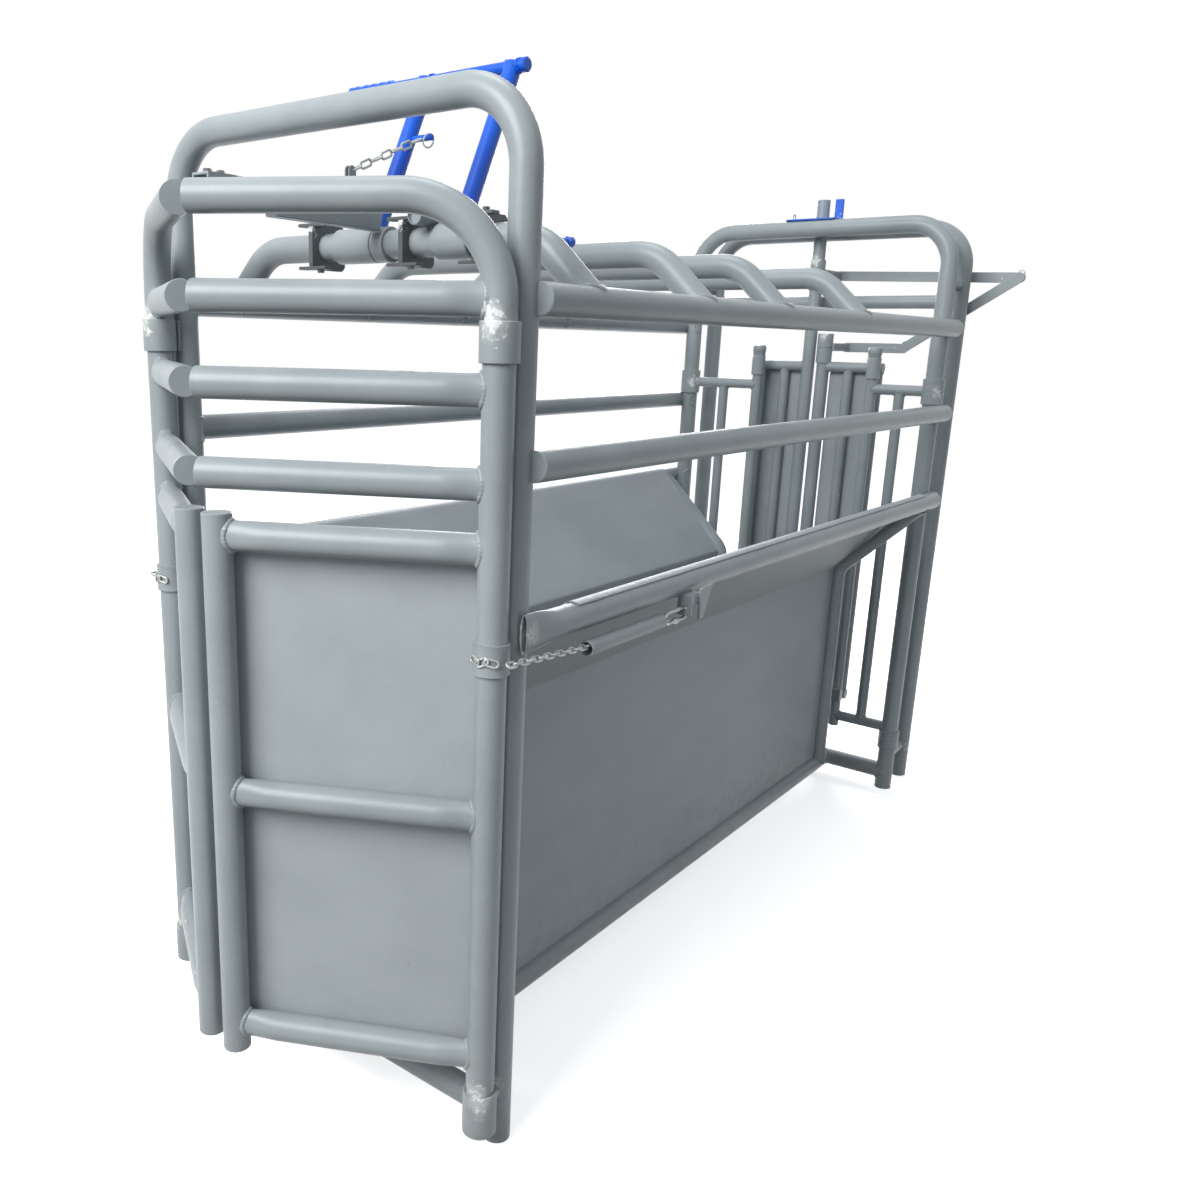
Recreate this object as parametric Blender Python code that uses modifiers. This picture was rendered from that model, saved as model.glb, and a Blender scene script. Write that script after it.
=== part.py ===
"""Roping chute: a tubular steel box for one steer, with a pair of front gates that meet in a V,
a trip lever and latch above them, and two rear leaves that slide apart on a hand linkage.

Metres, +Z up. X runs across (the side with +X is the near side), Y runs from the front gates
to the rear, and the chute stands on Z = 0 with its box centred on the origin.
"""
import math

import bmesh
import bpy
from mathutils import Matrix, Vector

# Pipe and clearances
TUBE = 0.0603          # main pipe, outside diameter
LEAF_TUBE = 0.048      # stiles of the rear leaves
BAR_TUBE = 0.038       # thin bars of the rear leaves and wings
GAP = 0.0003           # between pieces that touch
RUN = 0.0008           # running clearance of a turning piece
SHEET = 0.003          # steel sheet

# Arches
HALF_FRONT = 0.492     # half the spacing of the front posts
HALF_REAR = 0.482      # half the spacing of the rear posts
ARCH_TOP = 2.10        # height of the arch tubes' axis
ARCH_BEND = 0.14       # bend radius of the arch tubes
LENGTH = 2.49          # front arch to rear arch
SLOT = 0.177           # rear arch to the gate-frame arch behind it
SPACER_OD = 0.034      # short bars between the two rear arches
SPACER_Z = (0.13, 1.9)
HIGH_TUBE_Z = 1.842    # cross tube high in the gate-frame arch
BRACKET = (0.05, 0.034, 0.06)

# Sides
RAIL_OUT = 0.034       # side rails outside the front posts
RAIL_X = HALF_FRONT + RAIL_OUT
TOP_Z = 1.745          # top rail
MID_Z = 1.452          # middle rail
SHEET_Z = 1.14         # rail that the side sheet hangs from
FLOOR_X = 0.24         # bottom rails, from the centre line
FLOOR_Z = 0.066        # bottom rails and cross tubes
FOLD_Z = 0.862         # height of the fold in the side sheet
END_BACK = 0.095       # bent tube at the sheet's rear edge, in front of the rear arch
BOW_Y = (0.18, 0.63, 1.04, 1.59)
BOW_Z = 1.868          # roof bows
BOW_FLAT = 0.395       # half the flat length of a bow
BOW_BEND = 0.13
END_BEND = 0.07        # bends of the end tubes
NOSE_OUT = 0.018       # sheet rail in front of the arch
NOSE_PLAIN = 0.1       # where the rail is round again
NOSE_TAPER = 0.088
NOSE_THIN = 0.72       # share of its width that the press takes
NOSE_TALL = 0.28       # share of its height that the press adds
NOSE_SHIFT = 0.006     # outwards, where it laps the post
NOTCH_END = 0.106      # notch of the sheet beside the nose
NOTCH_OD = 0.094

# Front gates
HINGE_OUT = 0.005      # gate hinge axis outside the front post
HINGE_X = HALF_FRONT + HINGE_OUT
HINGE_SET = 0.068      # hinge axis in front of the post
TIP_Y = 0.338          # gate tips in front of the arch
TIP_MID = -0.02        # where the tips meet, across
TIP_GAP = 0.034        # between the two tips' axes
GATE_TOP = 1.911       # top rail of a gate
GATE_BEND = 0.175      # bend radius of a gate's top corner
GATE_RAILS = (1.742, 1.588, 1.422)
GATE_PANEL = (1.303, 0.774, 0.238)
STILE_LOW = 0.176
STILE_TOP = 1.347
CATCH = (0.008, 0.078, 0.034)      # lug under the latch
CATCH_Y = -0.2895
CATCH_X = 0.008        # from the middle of the two tips
STRAP_Z = 1.67
STRAP_H = 0.072
CUP_LOW = 0.058
CUP_H = 0.1
CUP_WALL = 0.006

# Gate openers
BAND_Z = 1.1
BAND_H = 0.06
SPRING_X = 0.556       # spring tubes, from the centre line
SPRING_Z = 1.079
SPRING_Y = 0.166       # open end of the spring tube
SPRING_LEN = 0.3
SPRING_OD = 0.0334
SPRING_WALL = 0.003
COIL_WIRE = 0.0036
COIL_START = 0.1       # spring, behind the open end of its tube
EYE_LENGTH = 0.034     # welded eye at the rear of the spring tube
EYE_WIDTH = 0.026
EYE_WIRE = 0.006
EYE_OUT = 0.011
SNAP_LENGTH = 0.104    # quick link between the eye and the anchor
SNAP_WIDTH = 0.034
SNAP_WIRE = 0.008
LUG_THICK = 0.007      # anchor's lug
LUG_LOW = 0.006        # lower edge of the lug under the spring tube's axis
LINK_WIRE = 0.005
LINK_WIDTH = 0.018
LINK_LENGTH = 0.037
CHAIN_REST = 0.024     # first link of the straight run, in front of the hinge axis
WRAP_TURNS = (math.radians(97), math.radians(52))   # links round the hinge tube
WRAP_TILT = math.radians(9)

# Trip mechanism on the first bow
SLEEVE_OD = 0.074
LATCH_X = -0.012
LATCH_W = 0.036
LEG_X = (-0.0545, 0.185)
LEG_D = 0.038
LEVER_LEAN = math.radians(26)
LEVER_TOP = 2.225
LEVER_ROD = 0.0254
KNOB_OD = 0.031
CLEVIS_SHARE = 0.64    # pin of the trip chain, up the far leg
ROD_FAR = 0.108        # rod past the far leg, into the grip
ROD_NEAR = 0.033       # rod past the near leg
CLEVIS_PIN = 0.014
GRIP_D = 0.033
GRIP_LEN = 0.14
GRIP_SOCKET = 0.012
RIB_PITCH = 0.026
RIB_WIDTH = 0.014
HEAD = (0.047, 0.064, 0.026)       # channel at the latch's end
HEAD_Y = -0.265
HEAD_WALL = 0.0045
HEAD_BOLTS = (-0.28, -0.25)
BEAM_FRONT = -0.24     # thin end of the latch's beam
BEAM_STEP = -0.162
BEAM_HEEL = -0.14
BEAM_LOW = 0.012       # beam's lower edge above the bow's axis
BEAM_THIN = 0.008
BEAM_DROP = 0.004
LATCH_LUG_Y = 0.073
LATCH_LUG_UP = 0.024   # lug's middle above the beam
LATCH_EYE = 0.046      # trip chain's foot above the beam
CLAMPS = ((-0.198, "far_clamp"), (0.075, "mid_clamp"), (0.272, "near_clamp"))
CLAMP_PLATE = (0.012, 0.1, 0.098)
CLAMP_FLANGE = (0.085, 0.026, 0.007)
CLAMP_BOLT = 0.016
LOCK_OUT = 0.03        # lock bolt beside the near clamp
LOCK_UP = 0.012
LOCK_OD = 0.0142
LOCK_KNOB = 0.022

# Rear leaves and wings
WING_TOP = 1.526
WING_LOW = 0.246
POST_A = -0.19         # inner post of the far wing
POST_F = 0.262         # inner post of the near wing
POST_TOP = 1.665
POST_LOW = 0.205
CAP_OD = 0.05          # caps of the inner posts
WING_BANDS = ((WING_TOP, 0.09), (0.2, 0.07))
LEAF_TOP = 1.6
LEAF_LOW = 0.31
STILE_FAR = -0.024     # far leaf's inner stile, which rises through the slot
STILE_NEAR = 0.036     # near leaf's inner stile
STILE_UP = 2.21
FAR_LINE = (STILE_FAR, -0.116, -0.212)
NEAR_LINE = (STILE_NEAR, 0.139, 0.25)
ROLLER_OD = 0.05
ROLLER_H = 0.075
RIDE_PLATE = (0.19, 0.207, 0.006)
RIDE_BAR = (0.03, 0.012, 0.078)
PIVOT_IN = 0.012       # rocker pivot, inside the rear posts' axis
PIVOT_Z = 1.8
ROCKER_ARM = 0.226
ROCKER_LEAN = math.radians(33.9)
LINK_UP_Z = 1.945
FLAT = 0.008           # thickness of the rocker and links
FLAT_WIDTH = 0.036
PIVOT_PIN = 0.014
LINK_PIN = 0.012
PIN_OUT = 0.014        # pins behind the links
LUG_SET = 0.02         # lugs of the leaves beside their stiles
LINK_SET = 0.024       # pins of the links beside the stiles

R = TUBE / 2
BAND_R = R + 0.005
SPRING_BORE = SPRING_OD - 2 * SPRING_WALL
LINK_PITCH = LINK_LENGTH - 1.6 * LINK_WIRE
GATE_Y = LENGTH + SLOT
END_Y = LENGTH - END_BACK
PIVOT_X = HALF_REAR - PIVOT_IN
LEAF_Y = LENGTH + SLOT / 2
ROCKER_Y = GATE_Y + R + 0.028
LINK_Y = ROCKER_Y + FLAT + RUN
BEAM_TOP = GATE_TOP + R + 0.016
LOWER_LINK_Z = PIVOT_Z - ROCKER_ARM * math.sin(ROCKER_LEAN)
ACROSS = Vector((1, 0, 0))
ALONG = Vector((0, 1, 0))
UP = Vector((0, 0, 1))


def reset_scene():
    for item in list(bpy.data.objects):
        bpy.data.objects.remove(item)


def new_collection(name):
    made = bpy.data.collections.new(name)
    bpy.context.scene.collection.children.link(made)
    return made


def new_material(name, colour, metallic, roughness):
    made = bpy.data.materials.new(name)
    made.use_nodes = True
    shader = made.node_tree.nodes["Principled BSDF"]
    shader.inputs["Base Color"].default_value = (*colour, 1.0)
    shader.inputs["Metallic"].default_value = metallic
    shader.inputs["Roughness"].default_value = roughness
    made.diffuse_color = (*colour, 1.0)
    return made


reset_scene()
CHUTE = new_collection("roping_chute")
CUTTERS = new_collection("cutters")
ROOT = bpy.data.objects.new("chute_root", None)
CHUTE.objects.link(ROOT)


# Shapes

def link_mesh(name, mesh):
    made = bpy.data.objects.new(name, mesh)
    CHUTE.objects.link(made)
    return made


def rounded(points, radius, step=math.radians(15)):
    """The polyline with each corner turned into an arc of the given radius."""
    points = [Vector(p) for p in points]
    out = [points[0]]
    for before, corner, after in zip(points, points[1:], points[2:]):
        a = (before - corner).normalized()
        b = (after - corner).normalized()
        turn = math.pi - a.angle(b)
        reach = radius * math.tan(turn / 2)
        middle = (a + b).normalized()
        centre = corner + middle * (radius / math.cos(turn / 2))
        count = max(2, round(turn / step))
        start = corner + a * reach - centre
        end = corner + b * reach - centre
        for i in range(count + 1):
            share = i / count
            w0 = math.sin((1 - share) * turn) / math.sin(turn)
            w1 = math.sin(share * turn) / math.sin(turn)
            out.append(centre + start * w0 + end * w1)
    out.append(points[-1])
    return out


def tube(points, diameter, sides=12, closed=False):
    """A round bar along the points, as a mesh with flat ends."""
    data = bpy.data.curves.new("tube", "CURVE")
    data.dimensions = "3D"
    data.bevel_depth = diameter / 2
    data.bevel_resolution = (sides - 4) // 2
    data.use_fill_caps = not closed
    spline = data.splines.new("POLY")
    spline.points.add(len(points) - 1)
    for point, place in zip(spline.points, points):
        point.co = (*place, 1.0)
    spline.use_cyclic_u = closed
    curve = bpy.data.objects.new("tube", data)
    return curve_to_mesh(curve)


def plate(outline, thickness, holes=(), matrix=None):
    """A flat outline in XY, extruded both ways along Z by half the thickness."""
    data = bpy.data.curves.new("plate", "CURVE")
    data.dimensions = "2D"
    data.fill_mode = "BOTH"
    data.extrude = thickness / 2
    for ring in (outline, *holes):
        spline = data.splines.new("POLY")
        spline.points.add(len(ring) - 1)
        for point, place in zip(spline.points, ring):
            point.co = (place[0], place[1], 0.0, 1.0)
        spline.use_cyclic_u = True
    curve = bpy.data.objects.new("plate", data)
    if matrix is not None:
        curve.matrix_world = matrix
    return curve_to_mesh(curve)


def curve_to_mesh(curve):
    CHUTE.objects.link(curve)
    graph = bpy.context.evaluated_depsgraph_get()
    mesh = bpy.data.meshes.new_from_object(curve.evaluated_get(graph))
    work = bmesh.new()
    work.from_mesh(mesh)
    bmesh.ops.remove_doubles(work, verts=work.verts, dist=0.00001)
    work.transform(curve.matrix_world)
    bmesh.ops.recalc_face_normals(work, faces=work.faces)
    work.to_mesh(mesh)
    work.free()
    made = link_mesh("piece", mesh)
    bpy.data.objects.remove(curve)
    return made


def circle(radius, centre=(0.0, 0.0), sides=20, turn=0.0):
    return [(centre[0] + radius * math.cos(turn + math.tau * i / sides),
             centre[1] + radius * math.sin(turn + math.tau * i / sides)) for i in range(sides)]


def stadium(half_length, radius, steps=8):
    """A slot outline along X: two half circles joined by straights."""
    ring = []
    for side, first in ((1, -math.pi / 2), (-1, math.pi / 2)):
        for i in range(steps + 1):
            angle = first + math.pi * i / steps
            ring.append((side * half_length + radius * math.cos(angle), radius * math.sin(angle)))
    return ring


def box(size, centre, turn=None):
    mesh = bpy.data.meshes.new("box")
    work = bmesh.new()
    matrix = Matrix.Translation(centre)
    if turn is not None:
        matrix = matrix @ turn
    matrix = matrix @ Matrix.Diagonal((*size, 1.0))
    bmesh.ops.create_cube(work, size=1.0, matrix=matrix)
    bmesh.ops.recalc_face_normals(work, faces=work.faces)
    work.to_mesh(mesh)
    work.free()
    return link_mesh("piece", mesh)


def rod(start, end, diameter, sides=20, end_diameter=None):
    """A straight cylinder or cone from one point to another."""
    start = Vector(start)
    end = Vector(end)
    along = end - start
    matrix = Matrix.Translation((start + end) / 2) @ along.to_track_quat("Z", "Y").to_matrix().to_4x4()
    mesh = bpy.data.meshes.new("rod")
    work = bmesh.new()
    far = diameter if end_diameter is None else end_diameter
    bmesh.ops.create_cone(work, cap_ends=True, segments=sides, radius1=diameter / 2,
                          radius2=far / 2, depth=along.length, matrix=matrix)
    bmesh.ops.recalc_face_normals(work, faces=work.faces)
    work.to_mesh(mesh)
    work.free()
    return link_mesh("piece", mesh)


def combine(base, others, operation):
    """Joins or cuts with a Boolean for each other piece, then keeps the result alone."""
    for other in others:
        other.hide_render = True
        other.display_type = "WIRE"
        CHUTE.objects.unlink(other)
        CUTTERS.objects.link(other)
        step = base.modifiers.new(operation.lower(), "BOOLEAN")
        step.operation = operation
        step.solver = "EXACT"
        step.object = other
    graph = bpy.context.evaluated_depsgraph_get()
    mesh = bpy.data.meshes.new_from_object(base.evaluated_get(graph))
    base.modifiers.clear()
    work = bmesh.new()
    work.from_mesh(mesh)
    bmesh.ops.remove_doubles(work, verts=work.verts, dist=0.00001)
    bmesh.ops.dissolve_degenerate(work, edges=work.edges, dist=0.00001)
    work.to_mesh(mesh)
    work.free()
    base.data = mesh
    for other in others:
        bpy.data.objects.remove(other)
    return base


def weld(pieces):
    return combine(pieces[0], pieces[1:], "UNION")


def cut(base, cutters):
    return combine(base, cutters, "DIFFERENCE")


def clearance(start, end, diameter, gap=GAP, sides=20):
    """A cutter round a tube, whose flats stand off the tube by the gap."""
    return rod(start, end, (diameter + 2 * gap) / math.cos(math.pi / sides), sides)


def post(x, y, low=-0.1, high=2.3, diameter=TUBE):
    return clearance((x, y, low), (x, y, high), diameter)


def rail(x, z, low=-0.5, high=3.2, diameter=TUBE):
    return clearance((x, low, z), (x, high, z), diameter)


def finish(made, name, look, axis=None, sharp=35):
    made.name = name
    made.data.name = name
    made.data.materials.clear()
    made.data.materials.append(look)
    made.data.shade_smooth()
    made.data.set_sharp_from_angle(angle=math.radians(sharp))
    holder = ROOT if axis is None else axis
    made.parent = holder
    made.matrix_parent_inverse = Matrix.Translation(holder.location).inverted()
    return made


def axis_empty(name, place):
    """The axis of a moving piece: an empty at a point of it."""
    made = bpy.data.objects.new(name, None)
    made.empty_display_size = 0.05
    made.location = place
    made.parent = ROOT
    CHUTE.objects.link(made)
    return made


SIDES = ((1, "near"), (-1, "far"))
PAINT = new_material("grey_paint", (0.37, 0.41, 0.42), 0.1, 0.45)
SKIN = new_material("sheet_paint", (0.25, 0.27, 0.28), 0.1, 0.5)
BLUE = new_material("blue_paint", (0.0, 0.12, 0.72), 0.0, 0.35)
ZINC = new_material("zinc_steel", (0.55, 0.56, 0.57), 0.9, 0.35)


# Arches: three bent pipes, all standing on the ground

def arch(half, y):
    return tube(rounded([(-half, y, 0), (-half, y, ARCH_TOP), (half, y, ARCH_TOP), (half, y, 0)], ARCH_BEND),
                TUBE, 14)


def build_arches():
    finish(arch(HALF_FRONT, 0.0), "front_arch", PAINT)
    finish(arch(HALF_REAR, LENGTH), "rear_arch", PAINT)
    pieces = [arch(HALF_REAR, GATE_Y)]
    for side in (1, -1):
        for z in SPACER_Z:
            pieces.append(rod((side * HALF_REAR, LENGTH, z), (side * HALF_REAR, GATE_Y, z), SPACER_OD, 12))
    # The bracket on the near post carries the rocker's pivot pin
    pieces.append(box(BRACKET, (PIVOT_X, GATE_Y + R + BRACKET[1] / 4, PIVOT_Z)))
    pin_end = ROCKER_Y + FLAT + 2 * FLAT
    pieces.append(rod((PIVOT_X, GATE_Y + R, PIVOT_Z), (PIVOT_X, pin_end, PIVOT_Z), PIVOT_PIN))
    # High cross tube between the posts of the gate-frame arch
    pieces.append(rod((-HALF_REAR, GATE_Y, HIGH_TUBE_Z), (HALF_REAR, GATE_Y, HIGH_TUBE_Z), LEAF_TUBE, 14))
    gate_arch = weld(pieces)
    cut(gate_arch, [post(side * HALF_REAR, LENGTH) for side in (1, -1)])
    finish(gate_arch, "gate_arch", PAINT)


# Long rails, whose ends are coped to the posts and lap their outer quarter

def cope_posts(made, side):
    """Cuts both ends of a rail to the posts."""
    return cut(made, [post(side * HALF_FRONT, 0.0), post(side * HALF_REAR, LENGTH)])


def build_rails():
    for side, word in SIDES:
        for z, label in ((TOP_Z, "top_rail"), (MID_Z, "mid_rail")):
            made = rod((side * RAIL_X, 0.0, z), (side * RAIL_X, LENGTH + 0.008, z), TUBE, 14)
            finish(cope_posts(made, side), f"{word}_{label}", PAINT)
        made = flattened_rail(side)
        finish(cope_posts(made, side), f"{word}_sheet_rail", PAINT)
        made = rod((side * FLOOR_X, 0.0, FLOOR_Z), (side * FLOOR_X, LENGTH, FLOOR_Z), TUBE, 14)
        cut(made, [clearance((-HALF_FRONT, y, FLOOR_Z), (HALF_FRONT, y, FLOOR_Z), TUBE) for y in (0.0, LENGTH)])
        finish(made, f"{word}_bottom_rail", PAINT)


def flattened_rail(side):
    """The sheet's rail: its front end is pressed flat and flared where it laps the post."""
    made = rod((side * RAIL_X, -NOSE_OUT, SHEET_Z), (side * RAIL_X, LENGTH + 0.008, SHEET_Z), TUBE, 14)
    work = bmesh.new()
    work.from_mesh(made.data)
    for y in (0.012, 0.03, 0.05, 0.075, NOSE_PLAIN):
        geometry = work.verts[:] + work.edges[:] + work.faces[:]
        bmesh.ops.bisect_plane(work, geom=geometry, plane_co=(0, y, 0), plane_no=(0, 1, 0))
    for vert in work.verts:
        share = min(1.0, max(0.0, (NOSE_PLAIN - vert.co.y) / NOSE_TAPER))
        press = share * share * (3 - 2 * share)
        out = (vert.co.x - side * RAIL_X) * (1 - NOSE_THIN * press)
        vert.co.x = side * (RAIL_X + NOSE_SHIFT * press) + out
        vert.co.z = SHEET_Z + (vert.co.z - SHEET_Z) * (1 + NOSE_TALL * press)
    work.to_mesh(made.data)
    work.free()
    return made


# Side sheets: draped over their rail, sloped inwards to a fold, then straight down

def sheet_line(side):
    offset = R + GAP + SHEET / 2
    leave = math.atan2(FOLD_Z - SHEET_Z, FLOOR_X - RAIL_X) + 1.5 * math.pi
    first = math.radians(62)
    line = []
    for i in range(7):
        angle = first + (leave - first) * i / 6
        line.append((RAIL_X + offset * math.cos(angle), SHEET_Z + offset * math.sin(angle)))
    line.append((FLOOR_X, FOLD_Z))
    line.append((FLOOR_X, FLOOR_Z + R + GAP))
    return [(side * x, z) for x, z in line]


def build_sheets():
    for side, word in SIDES:
        mesh = bpy.data.meshes.new("sheet")
        work = bmesh.new()
        front = R + 0.004
        rear = END_Y - R - GAP
        verts = [work.verts.new((x, front, z)) for x, z in sheet_line(side)]
        edges = [work.edges.new(pair) for pair in zip(verts, verts[1:])]
        swept = bmesh.ops.extrude_edge_only(work, edges=edges)["geom"]
        moved = [item for item in swept if isinstance(item, bmesh.types.BMVert)]
        bmesh.ops.translate(work, verts=moved, vec=(0, rear - front, 0))
        bmesh.ops.recalc_face_normals(work, faces=work.faces)
        work.to_mesh(mesh)
        work.free()
        made = link_mesh("piece", mesh)
        wall = made.modifiers.new("wall", "SOLIDIFY")
        wall.thickness = SHEET
        wall.offset = 0.0
        wall.use_even_offset = True
        # Notch beside the flared end of the rail
        cut(made, [rod((side * RAIL_X, -0.05, SHEET_Z), (side * RAIL_X, NOTCH_END, SHEET_Z), NOTCH_OD, 20)])
        finish(made, f"{word}_side_sheet", SKIN)


def build_end_tubes():
    for side, word in SIDES:
        inner = side * (FLOOR_X + 0.004)
        line = [(side * RAIL_X, END_Y, SHEET_Z - 0.004), (inner, END_Y, FOLD_Z), (inner, END_Y, FLOOR_Z)]
        made = tube(rounded(line, END_BEND), TUBE)
        cut(made, [rail(side * RAIL_X, SHEET_Z), rail(side * FLOOR_X, FLOOR_Z)])
        finish(made, f"{word}_end_tube", PAINT)


def build_cross_tubes():
    for y, half, name in ((0.0, HALF_FRONT, "front_cross_tube"), (LENGTH, HALF_REAR, "rear_cross_tube")):
        made = rod((-half, y, FLOOR_Z), (half, y, FLOOR_Z), TUBE, 14)
        finish(cut(made, [post(half, y), post(-half, y)]), name, PAINT)


def build_bows():
    for number, y in enumerate(BOW_Y, 1):
        line = [(-RAIL_X, y, TOP_Z), (-BOW_FLAT, y, BOW_Z), (BOW_FLAT, y, BOW_Z), (RAIL_X, y, TOP_Z)]
        made = tube(rounded(line, BOW_BEND), TUBE, 14)
        cut(made, [rail(side * RAIL_X, TOP_Z) for side in (1, -1)])
        finish(made, f"bow_{number}", PAINT)


# Front gates: a bent pipe with cantilevered rails above a framed sheet

def gate_line(side):
    """Hinge point, tip point and unit vector from hinge to tip, in plan."""
    hinge = Vector((side * HINGE_X, -HINGE_SET, 0.0))
    tip = Vector((TIP_MID + side * TIP_GAP / 2, -TIP_Y, 0.0))
    return hinge, tip, (tip - hinge).normalized()


def build_gates():
    for side, word in SIDES:
        hinge, tip, along = gate_line(side)
        line = [hinge + UP * (CUP_LOW + CUP_WALL + 2 * RUN), hinge + UP * GATE_TOP, tip + UP * GATE_TOP]
        pieces = [tube(rounded(line, GATE_BEND), TUBE, 14)]
        for z in GATE_RAILS:
            pieces.append(tube([hinge + UP * z, tip + UP * z], TUBE))
        stile = tip - along * R
        for z in GATE_PANEL:
            pieces.append(tube([hinge + UP * z, stile + UP * z], TUBE))
        pieces.append(tube([stile + UP * STILE_LOW, stile + UP * STILE_TOP], TUBE * 0.985, 14))
        pieces.append(box(CATCH, (TIP_MID + side * CATCH_X, CATCH_Y, GATE_TOP + 0.001)))
        # Band that the opener's chain is welded to, with the links that lie round it
        low = hinge + UP * (BAND_Z - BAND_H / 2)
        pieces.append(rod(low, low + UP * BAND_H, 2 * BAND_R, 18))
        for turn in WRAP_TURNS:
            out = Vector((side * math.cos(turn), -math.sin(turn), 0.0))
            flat = Vector((side * math.sin(turn), math.cos(turn), 0.0))
            centre = hinge + UP * BAND_Z + out * (BAND_R + LINK_WIRE * 0.3)
            tilt = Matrix.Rotation(WRAP_TILT, 3, out)
            pieces.append(link_loop(centre, tilt @ flat, tilt @ UP))
        gate = weld(pieces)
        axis = axis_empty(f"{word}_gate_axis", hinge)
        finish(gate, f"{word}_gate", PAINT, axis)
        build_gate_sheet(side, word, hinge, stile, along, axis)
        build_hinges(side, word)


def build_gate_sheet(side, word, hinge, stile, along, axis):
    inward = Vector((-along.y, along.x, 0.0))
    if inward.y < 0:
        inward.negate()
    top = GATE_PANEL[0]
    low = GATE_PANEL[2]
    near_edge = hinge + along * 0.02
    width = (stile - near_edge).length
    centre = (near_edge + stile) / 2 + inward * (R + GAP + SHEET / 2) + Vector((0, 0, (top + low) / 2))
    turn = Matrix.Rotation(math.atan2(along.y, along.x), 4, "Z")
    made = box((width, SHEET, top - low), centre, turn)
    finish(made, f"{word}_gate_sheet", SKIN, axis)


def build_hinges(side, word):
    reach = HINGE_SET / 2
    middle = (side * (HINGE_X + HALF_FRONT) / 2, -reach, STRAP_Z)
    bore = (R + RUN * 0.8) / math.cos(math.pi / 16)
    turn = Matrix.Rotation(math.atan2(HINGE_SET, side * (HALF_FRONT - HINGE_X)), 4, "Z")
    place = Matrix.Translation(middle) @ turn
    strap = plate(stadium(reach, bore + 0.006), STRAP_H, [stadium(reach, bore)], place)
    finish(strap, f"{word}_hinge_strap", PAINT)
    x = side * HINGE_X
    cup = rod((x, -HINGE_SET, CUP_LOW), (x, -HINGE_SET, CUP_LOW + CUP_H), TUBE + 2 * CUP_WALL, 24)
    arm = box((0.04, 0.045, 0.016), (side * (HINGE_X - 0.002), -0.0425, CUP_LOW + 0.072))
    cup = weld([cup, arm])
    bore_rod = clearance((x, -HINGE_SET, CUP_LOW + CUP_WALL), (x, -HINGE_SET, 0.3), TUBE, RUN)
    cut(cup, [bore_rod, post(side * HALF_FRONT, 0.0)])
    finish(cup, f"{word}_hinge_cup", PAINT)


# Gate openers: a chain from a band on the gate into a spring tube under the sheet rail

def link_loop(centre, along, across, length=LINK_LENGTH, width=LINK_WIDTH, wire=LINK_WIRE, sides=4, steps=3):
    """One chain link or ring: a closed wire in the plane of the two directions."""
    reach = (length - width) / 2
    ring = stadium(reach, (width - wire) / 2, steps)
    return tube([centre + along * u + across * v for u, v in ring], wire, sides, closed=True)


def chain(start, end, across):
    """Links laid in line back from the end, each turned a quarter from the last."""
    along = (start - end).normalized()
    other = along.cross(across)
    count = 1 + int((start - end).length / LINK_PITCH)
    pieces = []
    for i in range(count):
        pieces.append(link_loop(end + along * (i * LINK_PITCH), along, other if i % 2 else across))
    return weld(pieces)


def build_openers():
    # The straight run bears on the upper lip of the spring tube's mouth
    rise = SPRING_BORE / 2 * math.cos(math.pi / 20) - LINK_WIDTH / 2 - 2 * GAP
    wrap = math.hypot(BAND_R + LINK_WIRE, LINK_LENGTH / 2) + RUN
    for side, word in SIDES:
        pull = axis_empty(f"{word}_chain_axis", (side * SPRING_X, SPRING_Y, SPRING_Z))
        start = Vector((side * (HINGE_X + wrap + LINK_WIDTH / 2), -HINGE_SET - CHAIN_REST, BAND_Z))
        mouth = Vector((side * (SPRING_X - RUN), SPRING_Y + LINK_WIRE, SPRING_Z + rise))
        finish(chain(start, mouth, UP), f"{word}_chain", ZINC, pull)
        build_spring_tube(side, word)
        build_anchor(side, word)


def build_spring_tube(side, word):
    x = side * SPRING_X
    rear = SPRING_Y + SPRING_LEN
    body = rod((x, SPRING_Y, SPRING_Z), (x, rear, SPRING_Z), SPRING_OD, 20)
    bore = rod((x, SPRING_Y - 0.01, SPRING_Z), (x, rear - 0.006, SPRING_Z), SPRING_BORE, 20)
    body = cut(body, [bore])
    eye = link_loop(Vector((x, rear + EYE_OUT, SPRING_Z)), ALONG, ACROSS, EYE_LENGTH, EYE_WIDTH, EYE_WIRE, 8, 4)
    finish(weld([body, eye]), f"{word}_spring_tube", PAINT)

    turns = 8
    per_turn = 6
    low = SPRING_Y + COIL_START
    high = rear - 0.012
    radius = SPRING_BORE / 2 - COIL_WIRE / 2 - 1.5 * GAP
    coil = []
    for i in range(turns * per_turn + 1):
        angle = math.tau * i / per_turn
        coil.append((x + radius * math.cos(angle), low + (high - low) * i / (turns * per_turn),
                     SPRING_Z + radius * math.sin(angle)))
    finish(tube(coil, COIL_WIRE, 4), f"{word}_spring", ZINC)


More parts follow.
